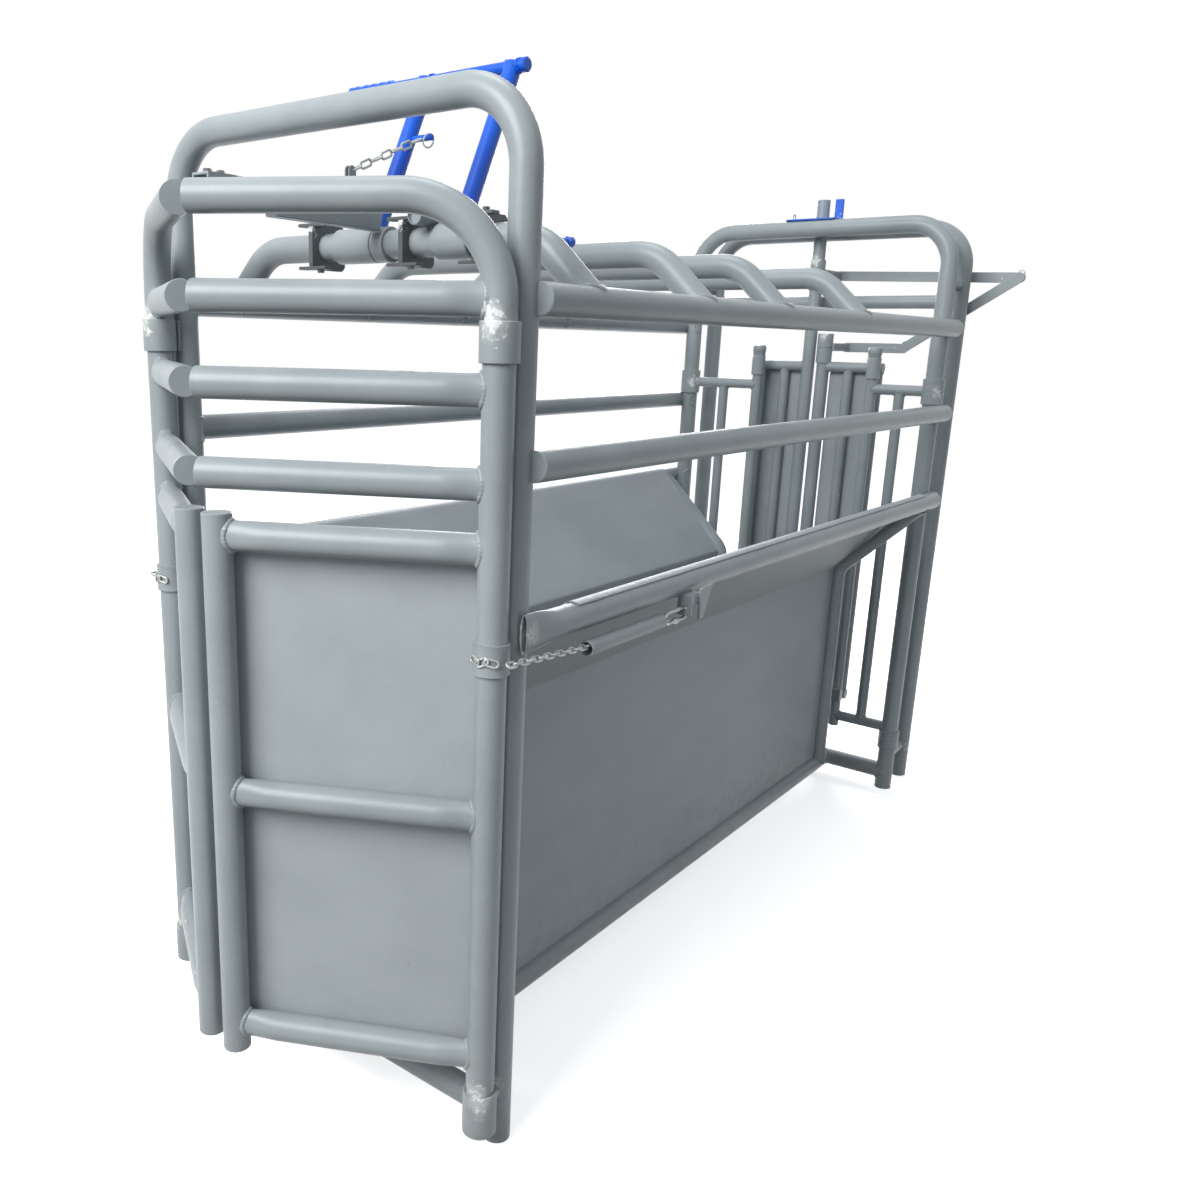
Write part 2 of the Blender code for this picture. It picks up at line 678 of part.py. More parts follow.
def build_anchor(side, word):
    """Quick link drawn tight between the spring tube's eye and a lug under the sheet rail."""
    x = side * SPRING_X
    eye_end = SPRING_Y + SPRING_LEN + EYE_OUT + EYE_LENGTH / 2 - EYE_WIRE
    middle = eye_end - 1.3 * GAP - SNAP_WIRE + SNAP_LENGTH / 2
    link = link_loop(Vector((x, middle, SPRING_Z)), ALONG, UP, SNAP_LENGTH, SNAP_WIDTH, SNAP_WIRE, 8, 6)
    finish(link, f"{word}_quick_link", ZINC)

    # The lug's lower lip fills the link's rear bend
    inner = (SNAP_WIDTH / 2 - SNAP_WIRE) * math.cos(math.pi / 12)
    bend = middle + SNAP_LENGTH / 2 - SNAP_WIDTH / 2
    y = bend + math.sqrt(inner ** 2 - LUG_LOW ** 2) - 1.3 * GAP - LUG_THICK / 2
    lug = box((0.036, LUG_THICK, 0.044 + LUG_LOW), (x + side * 0.002, y, SPRING_Z + (0.044 - LUG_LOW) / 2))
    shape = [(y - LUG_THICK / 2, SPRING_Z - 0.022), (y + 0.05, SPRING_Z - 0.022), (y + 0.09, SPRING_Z + 0.056),
             (y - LUG_THICK / 2, SPRING_Z + 0.044)]
    turn = Matrix(((0, 0, 1, side * (SPRING_X + 0.018)), (1, 0, 0, 0), (0, 1, 0, 0), (0, 0, 0, 1)))
    face = plate(shape, 0.006, (), turn)
    anchor = weld([lug, face])
    strand = (SNAP_WIDTH - SNAP_WIRE) / 2
    z = SPRING_Z + strand
    hole = rod((x, y - 0.02, z), (x, y + 0.02, z), 2 * (strand - LUG_LOW), 16)
    cut(anchor, [hole, rail(side * RAIL_X, SHEET_Z)])
    finish(anchor, f"{word}_anchor", PAINT)


# Trip lever and latch, both turning on the first bow

def sleeve(x0, x1):
    y = BOW_Y[0]
    return rod((x0, y, BOW_Z), (x1, y, BOW_Z), SLEEVE_OD, 20)


def bow_bore(x0, x1):
    y = BOW_Y[0]
    return clearance((x0, y, BOW_Z), (x1, y, BOW_Z), TUBE, RUN, 24)


def build_trip():
    y = BOW_Y[0]
    axis = axis_empty("trip_axis", (0.0, y, BOW_Z))
    lean = Vector((0, math.sin(LEVER_LEAN), math.cos(LEVER_LEAN)))
    origin = Vector((0, y, BOW_Z))
    reach = (LEVER_TOP - BOW_Z) / math.cos(LEVER_LEAN)

    spans = ((LEG_X[0] - 0.095, LATCH_X - LATCH_W / 2 - 0.002), (LEG_X[1] - 0.04, LEG_X[1] + 0.05))
    pieces = []
    for x, (x0, x1) in zip(LEG_X, spans):
        pieces.append(sleeve(x0, x1))
        foot = origin + ACROSS * x
        pieces.append(rod(foot + lean * 0.034, foot + lean * (reach + 0.004), LEG_D, 16))
    top = origin + lean * reach
    start = top + ACROSS * (LEG_X[0] - ROD_FAR)
    knob = top + ACROSS * (LEG_X[1] + ROD_NEAR)
    pieces.append(rod(start, knob, LEVER_ROD, 16))
    pieces.append(rod(knob - ACROSS * 0.012, knob + ACROSS * 0.006, KNOB_OD, 16))
    clevis = origin + lean * reach * CLEVIS_SHARE
    pieces.append(rod(clevis + ACROSS * LEG_X[0], clevis + ACROSS * (LATCH_X + 0.03), CLEVIS_PIN, 12))
    lever = cut(weld(pieces), [bow_bore(-0.3, 0.4)])
    finish(lever, "trip_lever", BLUE, axis)

    grip_end = start + ACROSS * GRIP_SOCKET
    ribs = [rod(grip_end - ACROSS * GRIP_LEN, grip_end, GRIP_D * 0.86, 12)]
    for i in range(5):
        centre = start - ACROSS * (GRIP_SOCKET + i * RIB_PITCH)
        ribs.append(rod(centre - ACROSS * RIB_WIDTH / 2, centre + ACROSS * RIB_WIDTH / 2, GRIP_D, 12))
    grip = cut(weld(ribs), [clearance(start, start + ACROSS * 0.1, LEVER_ROD)])
    finish(grip, "trip_grip", BLUE, axis)
    build_latch(y)
    build_trip_chain(clevis, axis)
    build_clamps(y)


def build_latch(y):
    axis = axis_empty("latch_axis", (LATCH_X, y, BOW_Z))
    half = LATCH_W / 2
    collar = sleeve(LATCH_X - half, LATCH_X + half)
    low = BOW_Z + BEAM_LOW
    thin = BEAM_TOP - BEAM_THIN
    shape = [(y, BEAM_TOP - BEAM_DROP), (BEAM_FRONT, BEAM_TOP), (BEAM_FRONT, thin), (BEAM_STEP, thin),
             (BEAM_HEEL, low), (y, low)]
    turn = Matrix(((0, 0, 1, LATCH_X), (1, 0, 0, 0), (0, 1, 0, 0), (0, 0, 0, 1)))
    beam = plate(shape, LATCH_W - 0.004, (), turn)
    head = box(HEAD, (TIP_MID, HEAD_Y, BEAM_TOP - HEAD[2] / 2))
    pocket = box((HEAD[0] - 2 * HEAD_WALL, 0.08, 0.03), (TIP_MID, HEAD_Y - 0.005, BEAM_TOP - 0.02))
    bolts = []
    for bolt_y in HEAD_BOLTS:
        bolts.append(rod((TIP_MID, bolt_y, BEAM_TOP - 0.002), (TIP_MID, bolt_y, BEAM_TOP + 0.008), 0.018, 12))
    lug_z = BEAM_TOP + LATCH_LUG_UP
    upright = Matrix(((0, 0, 1, LATCH_X), (0, 1, 0, LATCH_LUG_Y), (1, 0, 0, lug_z), (0, 0, 0, 1)))
    lug = plate(stadium(0.022, 0.011), 0.005, [circle(0.0055, (0.022, 0), 12)], upright)
    latch = weld([collar, beam, cut(head, [pocket]), *bolts, lug])
    finish(cut(latch, [bow_bore(-0.1, 0.1)]), "latch_bar", PAINT, axis)


def build_trip_chain(clevis, axis):
    low = Vector((LATCH_X, LATCH_LUG_Y, BEAM_TOP + LATCH_EYE))
    high = clevis + ACROSS * LATCH_X
    along = (high - low).normalized()
    start = low + along * (LINK_LENGTH / 2 - LINK_WIRE * 0.5)
    end = high - along * (LINK_LENGTH / 2 - LINK_WIRE * 0.5 + 0.0055)
    count = 2 * round((end - start).length / LINK_PITCH / 2) + 1
    other = along.cross(ACROSS)
    pieces = []
    for i in range(count):
        centre = start.lerp(end, i / (count - 1))
        pieces.append(link_loop(centre, along, other if i % 2 else ACROSS))
    made = weld(pieces)
    cut(made, [rod(clevis - ACROSS * 0.06, clevis + ACROSS * 0.06, CLEVIS_PIN + RUN, 12)])
    finish(made, "trip_chain", ZINC, axis)


def build_clamps(y):
    """Plate clamps that keep the sleeves in place along the bow."""
    lock = Vector((CLAMPS[2][0] + LOCK_OUT, y, BOW_Z + LOCK_UP))
    for x, name in CLAMPS:
        pieces = [box(CLAMP_PLATE, (x, y, BOW_Z))]
        for way in (1, -1):
            pieces.append(box(CLAMP_FLANGE, (x, y - 0.036, BOW_Z + way * 0.0455)))
            head = Vector((x + 0.02, y - 0.038, BOW_Z + way * 0.04))
            pieces.append(rod(head, head + UP * way * 0.015, CLAMP_BOLT, 6))
        cutters = [clearance((-0.4, y, BOW_Z), (0.4, y, BOW_Z), TUBE)]
        if name == "near_clamp":
            pieces.append(box((0.03, 0.1, 0.03), lock + ALONG * 0.07))
            pieces.append(box((0.045, 0.016, 0.03), lock + ALONG * 0.028 - ACROSS * 0.01))
            cutters.append(rod(lock, lock + ALONG * 0.2, LOCK_OD + 0.002, 16))
        finish(cut(weld(pieces), cutters), name, PAINT)
    bolt = rod(lock + ALONG * 0.05, lock + ALONG * 0.24, LOCK_OD, 14)
    knob = rod(lock + ALONG * 0.225, lock + ALONG * 0.245, LOCK_KNOB, 14)
    axis = axis_empty("lock_axis", lock + ALONG * 0.12)
    finish(weld([bolt, knob]), "lock_bolt", BLUE, axis)


# Wings: fixed panels beside the rear opening, held to the rear posts by bands

def build_wings():
    for side, word, inner in ((-1, "far", POST_A), (1, "near", POST_F)):
        y = LENGTH
        pieces = [rod((inner, y, POST_LOW), (inner, y, POST_TOP - 0.014), BAR_TUBE, 12)]
        for z in (WING_TOP, WING_LOW):
            pieces.append(rod((inner, y, z), (side * HALF_REAR, y, z), BAR_TUBE, 12))
        mid = (inner + side * (HALF_REAR - R)) / 2 + side * 0.01
        pieces.append(rod((mid, y, WING_LOW), (mid, y, WING_TOP), BAR_TUBE * 0.97, 12))
        for z, high in WING_BANDS:
            foot = Vector((side * HALF_REAR, y, z - high / 2))
            pieces.append(rod(foot, foot + UP * high, TUBE + 0.014, 16))
        pieces.append(box((0.05, 0.03, 0.05), (inner - side * 0.002, y - 0.012, WING_LOW + 0.09)))
        pieces.append(rod((inner, y, POST_TOP - 0.014), (inner, y, POST_TOP + 0.012), CAP_OD, 16))
        wing = cut(weld(pieces), [post(side * HALF_REAR, y), rail(side * RAIL_X, MID_Z)])
        finish(wing, f"{word}_wing", PAINT)

        axis = axis_empty(f"{word}_roller_axis", (inner, y, LEAF_TOP))
        low = LEAF_TOP - ROLLER_H / 2
        pipe = rod((inner, y, low), (inner, y, low + ROLLER_H), ROLLER_OD, 20)
        bore = clearance((inner, y, low - 0.1), (inner, y, low + 0.2), BAR_TUBE, RUN, 20)
        finish(cut(pipe, [bore]), f"{word}_roller", PAINT, axis)


# Rear leaves: sheeted frames that slide apart in the slot between the two rear arches

def build_leaves():
    y = LEAF_Y
    leaves = (("far", FAR_LINE, STILE_UP, LINK_UP_Z), ("near", NEAR_LINE, LEAF_TOP + 0.085, LOWER_LINK_Z))
    for word, line, top, sleeve_z in leaves:
        pieces = [rod((line[0], y, LEAF_LOW - 0.03), (line[0], y, top), LEAF_TUBE, 14)]
        for z in (LEAF_TOP, LEAF_LOW):
            pieces.append(rod((line[0], y, z), (line[2], y, z), BAR_TUBE, 12))
        for x in line[1:]:
            pieces.append(rod((x, y, LEAF_LOW), (x, y, LEAF_TOP), BAR_TUBE * 0.97, 12))
        pieces.append(rod((line[0], y, sleeve_z - 0.06), (line[0], y, sleeve_z + 0.05), LEAF_TUBE + 0.01, 16))
        reach = LINK_Y - RUN - y
        pieces.append(box((0.03, reach, 0.034), (line[0] + LUG_SET, y + reach / 2, sleeve_z)))
        axis = axis_empty(f"{word}_leaf_axis", (line[0], y, LEAF_TOP))
        finish(weld(pieces), f"{word}_leaf", PAINT, axis)
        x0 = min(line[0], line[2])
        x1 = max(line[0], line[2])
        depth = BAR_TUBE / 2 + GAP + SHEET / 2
        middle = ((x0 + x1) / 2, y + depth, (LEAF_TOP + LEAF_LOW) / 2)
        skin = box((x1 - x0, SHEET, LEAF_TOP - LEAF_LOW), middle)
        cut(skin, [post(line[0], y, diameter=LEAF_TUBE)])
        finish(skin, f"{word}_leaf_sheet", SKIN, axis)
    build_slide_plate(bpy.data.objects["far_leaf_axis"])


def build_slide_plate(axis):
    """Blue plate that rides on the two arches and carries the far leaf, with its hand bar."""
    z = ARCH_TOP + R + GAP + 0.003
    base = box(RIDE_PLATE, (STILE_FAR - 0.008, LEAF_Y, z))
    bar = box(RIDE_BAR, (STILE_FAR + 0.062, LEAF_Y, z + 0.038))
    centre = Vector((STILE_FAR - 0.09, LEAF_Y - 0.05, z + 0.012))
    ring = link_loop(centre, UP, ALONG, 0.03, 0.022, 0.004, 6, 6)
    made = cut(weld([base, bar, ring]), [post(STILE_FAR, LEAF_Y, 2.0, 2.4, LEAF_TUBE)])
    finish(made, "slide_plate", BLUE, axis)


# Linkage behind the gate-frame arch: a rocker and two flat links

def flat_bar(start, end, y):
    """A flat bar in the XZ plane with round ends, from one pin centre to the other."""
    along = end - start
    middle = (start + end) / 2
    flat = Matrix(((1, 0, 0, middle.x), (0, 0, -1, y), (0, 1, 0, middle.y), (0, 0, 0, 1)))
    turn = Matrix.Rotation(math.atan2(along.y, along.x), 4, "Z")
    return plate(stadium(along.length / 2, FLAT_WIDTH / 2), FLAT, (), flat @ turn)


def ring_pin(x, z, y0, y1):
    """A headless pin with a split ring through its rear end."""
    pin = rod((x, y0, z), (x, y1, z), LINK_PIN, 12)
    ring = link_loop(Vector((x, y1 - LINK_PIN / 2, z + 0.011)), UP, ACROSS, 0.034, 0.026, 0.004, 6, 6)
    return [pin, ring]


def build_linkage():
    arm = Vector((math.cos(ROCKER_LEAN), math.sin(ROCKER_LEAN))) * ROCKER_ARM
    pivot = Vector((PIVOT_X, PIVOT_Z))
    high = pivot + arm
    low = pivot - arm
    mid = ROCKER_Y + FLAT / 2
    rocker = flat_bar(low, high, mid)
    hole = clearance((PIVOT_X, ROCKER_Y - 0.02, PIVOT_Z), (PIVOT_X, ROCKER_Y + 0.03, PIVOT_Z), PIVOT_PIN, RUN, 18)
    axis = axis_empty("rocker_axis", (PIVOT_X, mid, PIVOT_Z))
    finish(cut(rocker, [hole]), "rocker", PAINT, axis)

    mid = LINK_Y + FLAT / 2
    front = LINK_Y + 0.001
    rear = LINK_Y + FLAT + PIN_OUT
    lines = (("upper_link", Vector((STILE_FAR + LINK_SET, LINK_UP_Z)), high),
             ("lower_link", Vector((STILE_NEAR + LINK_SET, LOWER_LINK_Z)), low))
    for name, start, end in lines:
        bar = flat_bar(start, end, mid)
        pins = ring_pin(end.x, end.y, front, rear)
        head = rod((start.x, front, start.y), (start.x, rear - 0.004, start.y), 0.016, 6)
        axis = axis_empty(f"{name}_axis", (start.x, mid, start.y))
        finish(weld([bar, head, *pins]), name, PAINT, axis)


def stand_on_origin():
    """Moves the root so that the chute's box is centred on the origin."""
    bpy.context.view_layer.update()
    graph = bpy.context.evaluated_depsgraph_get()
    low = Vector((9, 9, 9))
    high = Vector((-9, -9, -9))
    for item in CHUTE.objects:
        if item.type != "MESH":
            continue
        shown = item.evaluated_get(graph)
        for vert in shown.data.vertices:
            place = shown.matrix_world @ vert.co
            low = Vector(map(min, low, place))
            high = Vector(map(max, high, place))
    ROOT.location = (-(low.x + high.x) / 2, -(low.y + high.y) / 2, 0.0)
    bpy.context.view_layer.update()


build_arches()
build_rails()
build_sheets()
build_end_tubes()
build_cross_tubes()
build_bows()
build_gates()
build_openers()
build_trip()
build_wings()
build_leaves()
build_linkage()
stand_on_origin()
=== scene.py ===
"""Looks of a roping chute: painted steel pipe, sheet, chains and a trip lever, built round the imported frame.

Every point is written from the middle of the front arch at the ground: x across (near side +), y towards
the rear, z up, in metres.
"""
from math import acos, atan2, ceil, cos, hypot, pi, radians, sin, sqrt, tan

import bpy
import numpy as np
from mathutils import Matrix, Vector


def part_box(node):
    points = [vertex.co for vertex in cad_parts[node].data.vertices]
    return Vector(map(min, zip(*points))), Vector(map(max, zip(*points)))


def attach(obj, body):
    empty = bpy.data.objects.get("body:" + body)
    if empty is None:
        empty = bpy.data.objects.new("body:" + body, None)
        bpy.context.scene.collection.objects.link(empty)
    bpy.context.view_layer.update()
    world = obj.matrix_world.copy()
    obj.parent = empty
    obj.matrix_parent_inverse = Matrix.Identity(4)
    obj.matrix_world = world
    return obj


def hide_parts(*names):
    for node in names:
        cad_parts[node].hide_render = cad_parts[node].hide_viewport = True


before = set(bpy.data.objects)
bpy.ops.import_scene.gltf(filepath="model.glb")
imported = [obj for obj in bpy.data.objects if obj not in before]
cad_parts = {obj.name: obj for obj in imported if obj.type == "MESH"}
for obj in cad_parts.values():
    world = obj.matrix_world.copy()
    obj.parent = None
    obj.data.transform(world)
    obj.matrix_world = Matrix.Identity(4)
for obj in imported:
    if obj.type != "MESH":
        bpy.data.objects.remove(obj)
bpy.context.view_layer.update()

# Camera
# It stands at the right front corner, a little above the top rail, and looks down the near side.

front_low, front_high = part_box("front_arch")
ORIGIN = np.array([(front_low.x + front_high.x) / 2, (front_low.y + front_high.y) / 2, 0.0])
CAMERA_AT = np.array([1.656, -1.562, 1.673])
TURN, DIP, ROLL = np.radians([39.359, 14.59, 1.154])      # from +Y towards -X, down, and over
SENSOR = 36.0
FOCAL_SHARE = 1056.48 / 1200                              # of the frame's width
SHIFT = (0.1126, 0.0125)


def put(name, data):
    made = bpy.data.objects.new(name, data)
    bpy.context.scene.collection.objects.link(made)
    return made


def stand(name, data, at, right, up, forward):
    """Puts a camera or a lamp at a point. Both look along their own -Z."""
    pose = np.eye(4)
    pose[:3, :3] = np.stack([right, up, -forward], 1)
    pose[:3, 3] = at + ORIGIN
    made = put(name, data)
    made.matrix_world = pose.T.tolist()
    return made


forward = np.array([-sin(TURN) * cos(DIP), cos(TURN) * cos(DIP), -sin(DIP)])
level = np.array([cos(TURN), sin(TURN), 0.0])
upright = np.cross(level, forward)
right = cos(ROLL) * level + sin(ROLL) * upright
up = cos(ROLL) * upright - sin(ROLL) * level
lens = bpy.data.cameras.new("camera")
lens.sensor_width = SENSOR
lens.lens = FOCAL_SHARE * SENSOR
lens.shift_x, lens.shift_y = SHIFT
bpy.context.scene.camera = stand("camera", lens, CAMERA_AT, right, up, forward)

# Finishes
# The chute is sprayed with light grey enamel after welding, the lever and bolt with blue, and the chains
# are zinc plated. Paint is thin over welds and edges, and knocked off where steel works on steel.


class Reading:
    """A node's output, so that sums on it add Math nodes."""

    def __init__(self, finish, output):
        self.finish = finish
        self.output = output

    def work(self, operation, first, second):
        return self.finish.node("ShaderNodeMath", {"operation": operation}, {0: first, 1: second})

    def __add__(self, other):
        return self.work("ADD", self, other)

    def __radd__(self, other):
        return self.work("ADD", other, self)

    def __sub__(self, other):
        return self.work("SUBTRACT", self, other)

    def __rsub__(self, other):
        return self.work("SUBTRACT", other, self)

    def __mul__(self, other):
        return self.work("MULTIPLY", self, other)

    def __rmul__(self, other):
        return self.work("MULTIPLY", other, self)


class Finish:
    """A material or the world: its shader, its slot's name, and one method that adds any other node."""

    def __init__(self, owner, slot=None, shader="Principled BSDF", **constants):
        owner.use_nodes = True
        self.owner = owner
        self.slot = slot
        self.tree = owner.node_tree
        self.shader = self.tree.nodes[shader]
        for key, value in constants.items():
            self.shader.inputs[key.replace("_", " ")].default_value = value

    def node(self, kind, settings=(), sockets=(), output=0):
        made = self.tree.nodes.new(kind)
        for key, value in dict(settings).items():
            setattr(made, key, value)
        for key, value in dict(sockets).items():
            if isinstance(value, Reading):
                self.tree.links.new(value.output, made.inputs[key])
            else:
                made.inputs[key].default_value = value
        return Reading(self, made.outputs[output])

    def place(self):
        return self.node("ShaderNodeTexCoord", output="Object")

    def noise(self, scale, detail=3.0, rough=0.55, stretch=(1.0, 1.0, 1.0)):
        """Cloudy noise from 0 to 1 on the piece's own place, stretched along the axes."""
        place = self.node("ShaderNodeMapping", {}, {"Vector": self.place(), "Scale": stretch})
        return self.node("ShaderNodeTexNoise", {}, {"Vector": place, "Scale": scale, "Detail": detail,
                                                    "Roughness": rough})

    def step(self, value, low, high):
        """0 below low, 1 above high, smooth between."""
        return self.node("ShaderNodeMapRange", {"interpolation_type": "SMOOTHSTEP"},
                         {0: value, 1: low, 2: high, 3: 0.0, 4: 1.0})

    def mix(self, share, first, second):
        """One colour into another."""
        return self.node("ShaderNodeMix", {"data_type": "RGBA"}, {0: share, 6: first, 7: second}, 2)

    def feed(self, socket, value):
        self.tree.links.new(value.output, self.shader.inputs[socket])

    def bump(self, height, depth):
        self.feed("Normal", self.node("ShaderNodeBump", {}, {"Height": height, "Distance": depth}))


def colour(levels):
    """A screen colour (red, green, blue, 0 to 255) as the shader's linear one."""
    share = np.array(levels) / 255.0
    return (*np.where(share < 0.04045, share / 12.92, ((share + 0.055) / 1.055) ** 2.4), 1.0)


def enamel(name, slot, pale, deep, bare, rough, stretch=(1.0, 1.0, 1.0), streaks=0.35, dab_and_highlight=None):
    """Sprayed enamel: slow drifts of tone, orange peel, rubs, dust low down, and chips and chalky dabs of
    cold silver paint where the wear attribute is high. On the far gate's rails, where that attribute is
    raised all over, the pale dabs are partly a painted highlight."""
    made = Finish(bpy.data.materials.new(name), slot, IOR=1.5, Metallic=0.0, Specular_IOR_Level=0.45)
    drift = made.noise(2.6, 4.0)
    streak = made.noise(9.0, 5.0, 0.6, stretch)
    tone = made.step(drift * (1 - streaks) + streak * streaks, 0.3, 0.7)
    wear_and_highlight = made.node("ShaderNodeAttribute", {"attribute_name": "wear_and_highlight"}, output="Fac")
    flake = made.noise(85.0, 6.0, 0.68)
    chips = made.step(flake + made.noise(14.0, 3.0) * 0.5 + wear_and_highlight * 0.42, 1.02, 1.06)
    chalk_and_highlight = made.step(flake * 0.7 + wear_and_highlight * 0.8, 0.6, 0.86) * 0.6
    rub = made.step(made.noise(240.0, 4.0, 0.7, (1.0, 1.0, 0.2)), 0.665, 0.72) * 0.45
    bared = made.mix(made.noise(160.0), colour(bare), colour((236, 238, 238)))
    height = made.node("ShaderNodeSeparateXYZ", {}, {0: made.place()}, "Z")
    low = 1 - made.step(height, 0.0, 0.42)
    dust = low * made.step(made.noise(22.0, 6.0, 0.65), 0.42, 0.75) * 0.4
    painted = made.mix(rub, made.mix(tone, colour(deep), colour(pale)), colour((96, 101, 104)))
    painted = made.mix(dust, painted, colour((146, 138, 124)))
    painted = made.mix(chalk_and_highlight, painted, colour(dab_and_highlight or pale))
    made.feed("Base Color", made.mix(chips, painted, bared))
    made.feed("Roughness", rough + made.noise(30.0, 3.0) * 0.14 + chips * 0.2 + dust * 0.4)
    made.bump(made.noise(420.0, 2.0) * 0.16 + made.noise(46.0, 2.0) * 0.3 - chips * 0.35, 0.0007)
    return made


GREY = enamel("grey_enamel", "grey_paint", (155, 163, 165), (141, 149, 152), (212, 215, 212), 0.3,
              dab_and_highlight=(203, 208, 204))
SHEET_GREY = enamel("sheet_enamel", "sheet_paint", (169, 176, 179), (158, 165, 168), (200, 204, 204), 0.42,
                    (1.0, 0.2, 1.0), 0.5)
# The clamp plates get a darker copy of the grey paint.
DARK = enamel("clamp_darker_grey", "grey_paint", (104, 109, 110), (72, 77, 79), (170, 172, 170), 0.34)
BLUE = enamel("blue_enamel", "blue_paint", (0, 98, 214), (0, 76, 190), (30, 64, 130), 0.3)


def plated(name, pale, deep, rough, shine):
    """Zinc plate: a dull metal with a cloudy bloom and dark spots."""
    made = Finish(bpy.data.materials.new(name), "zinc_steel", IOR=1.5)
    bloom = made.noise(60.0, 5.0, 0.65)
    spots = made.step(made.noise(190.0, 4.0), 0.6, 0.72)
    cloud = made.mix(made.step(bloom, 0.35, 0.65), colour(deep), colour(pale))
    made.feed("Base Color", made.mix(spots * 0.6, cloud, colour((92, 90, 86))))
    made.feed("Metallic", shine - spots * 0.3)
    made.feed("Roughness", rough + bloom * 0.22)
    made.bump(made.noise(300.0, 3.0), 0.0004)
    return made


ZINC = plated("zinc_plate", (192, 196, 193), (146, 150, 149), 0.32, 0.6)
BOLT = plated("bolt_steel", (120, 121, 120), (78, 79, 80), 0.34, 0.9)

# Arches
# Three bent 60 mm pipes stand on the ground. The rear two are joined by short spacers, and a cross tube
# high in the rearmost keeps the slot for the leaves open. All joints are welded.

X, Y, Z = np.eye(3)
PIPE = 0.03015                 # radius of the main pipe
HALF_FRONT, HALF_REAR = 0.492, 0.482
ARCH_TOP, ARCH_BEND = 2.10, 0.14
LENGTH, SLOT = 2.49, 0.177
GATE_Y = LENGTH + SLOT
HIGH_TUBE_Z, HIGH_TUBE_R = 1.842, 0.024
SPACER_R = 0.017
SPACER_HEIGHTS = (0.13, 1.9)


def unit(vector):
    vector = np.asarray(vector, float)
    return vector / np.linalg.norm(vector)


def travel_along(points):
    """How far along a polyline each of its points lies."""
    return np.concatenate([[0.0], np.cumsum(np.linalg.norm(np.diff(points, axis=0), axis=1))])


def bent(corners, radius, step=0.012):
    """A polyline whose corners are arcs of the radius, as points at most a step apart."""
    corners = np.asarray(corners, float)
    points = [corners[:1]]
    for before, corner, after in zip(corners, corners[1:], corners[2:]):
        a, b = unit(before - corner), unit(after - corner)
        turn = pi - acos(a @ b)
        centre = corner + unit(a + b) * radius / cos(turn / 2)
        reach = radius * tan(turn / 2)
        share = np.linspace(0, 1, max(4, ceil(radius * turn / step)))[:, None]
        out = (corner + a * reach - centre) * np.sin((1 - share) * turn)
        out += (corner + b * reach - centre) * np.sin(share * turn)
        points.append(centre + out / sin(turn))
    points = np.concatenate([*points, corners[-1:]])
    travel = travel_along(points)
    marks = [np.linspace(a, b, max(1, ceil((b - a) / step)), endpoint=False)
             for a, b in zip(travel, travel[1:])]
    marks = np.concatenate([*marks, travel[-1:]])
    return np.stack([np.interp(marks, travel, points[:, k]) for k in range(3)], 1)


def arc(first, last, count, **kwargs):
    """Points on the unit circle from one angle to another."""
    turn = np.linspace(first, last, count, **kwargs)
    return np.stack([np.cos(turn), np.sin(turn)], 1)


def circle(radius, sides=32):
    return arc(0, 2 * pi, sides, endpoint=False) * radius


def sweep(path, section, flat, closed=False):
    """A section carried along a path that lies in the plane square to flat: each path point plus the
    section's first number along flat x tangent, and its second along flat."""
    path = np.asarray(path, float)
    if closed:
        along = np.roll(path, -1, 0) - np.roll(path, 1, 0)
    else:
        along = np.gradient(path, axis=0)
    along /= np.linalg.norm(along, axis=1)[:, None]
    side = np.cross(unit(flat), along)
    section = np.broadcast_to(section, (len(path), *np.shape(section)[-2:]))
    return path[:, None] + section[..., :1] * side[:, None] + section[..., 1:] * unit(flat)


def square_to(axis):
    """Two unit vectors that make a right-handed set with the axis."""
    axis = unit(axis)
    helper = Z if abs(axis[2]) < 0.9 else Y
    first = unit(np.cross(helper, axis))
    return first, np.cross(axis, first)


def turned(start, axis, profile, sides=32):
    """A turned shape: circles whose distance along the axis and radius come from the profile's rows."""
    profile = np.asarray(profile, float)
    ring = circle(1.0, sides) @ square_to(axis)
    return start + profile[:, :1, None] * unit(axis) + profile[:, 1:, None] * ring


def rod(start, end, radius, sides=32, edge=0.0015, step=0.02):
    """A straight round bar whose ends have a small chamfer."""
    length = np.linalg.norm(np.subtract(end, start))
    middle = np.linspace(edge, length - edge, max(2, ceil(length / step)))
    profile = [(0.0, radius - edge), *[(m, radius) for m in middle], (length, radius - edge)]
    return turned(start, np.subtract(end, start), profile, sides)


def bead(at, toward, lies, thin=PIPE, thick=PIPE, size=0.0042, offset=0.0, deep=1.0):
    """A weld bead round a tube of radius thin that leaves a tube of radius thick, which lies along lies.
    On the thin tube's surface, at angle t, the joint is sqrt(thick^2 - (offset + deep thin cos t)^2) out
    from the thick tube's axis; deep below 1 is a tube end pressed flatter. The bead is a small circle there,
    with the ripples of a hand-laid weld."""
    toward, lies = unit(toward), unit(lies)
    across = np.cross(lies, toward)
    reach = np.clip((thick * 0.999 - offset) / thin, -1, 1)
    first = acos(reach) if offset > 0 else 0.0
    t = np.linspace(first, 2 * pi - first, 97)
    t = t[:-1] if first == 0.0 else t
    out = across * (deep * np.cos(t))[:, None] + lies * np.sin(t)[:, None]
    rise = np.sqrt(np.maximum(thick ** 2 - (offset + deep * thin * np.cos(t)) ** 2, 0.0))
    seat = at + across * offset + toward * rise[:, None] + out * thin
    size = size * (1 + 0.08 * np.sin(t * 26.0) + 0.1 * np.sin(t * 7.0 + at[2] * 40.0))
    around = circle(1.0, 8)[:, None]
    ring = out[:, None] * around[..., 0] + toward * around[..., 1]
    return seat[:, None] + ring * size[:, None, None]


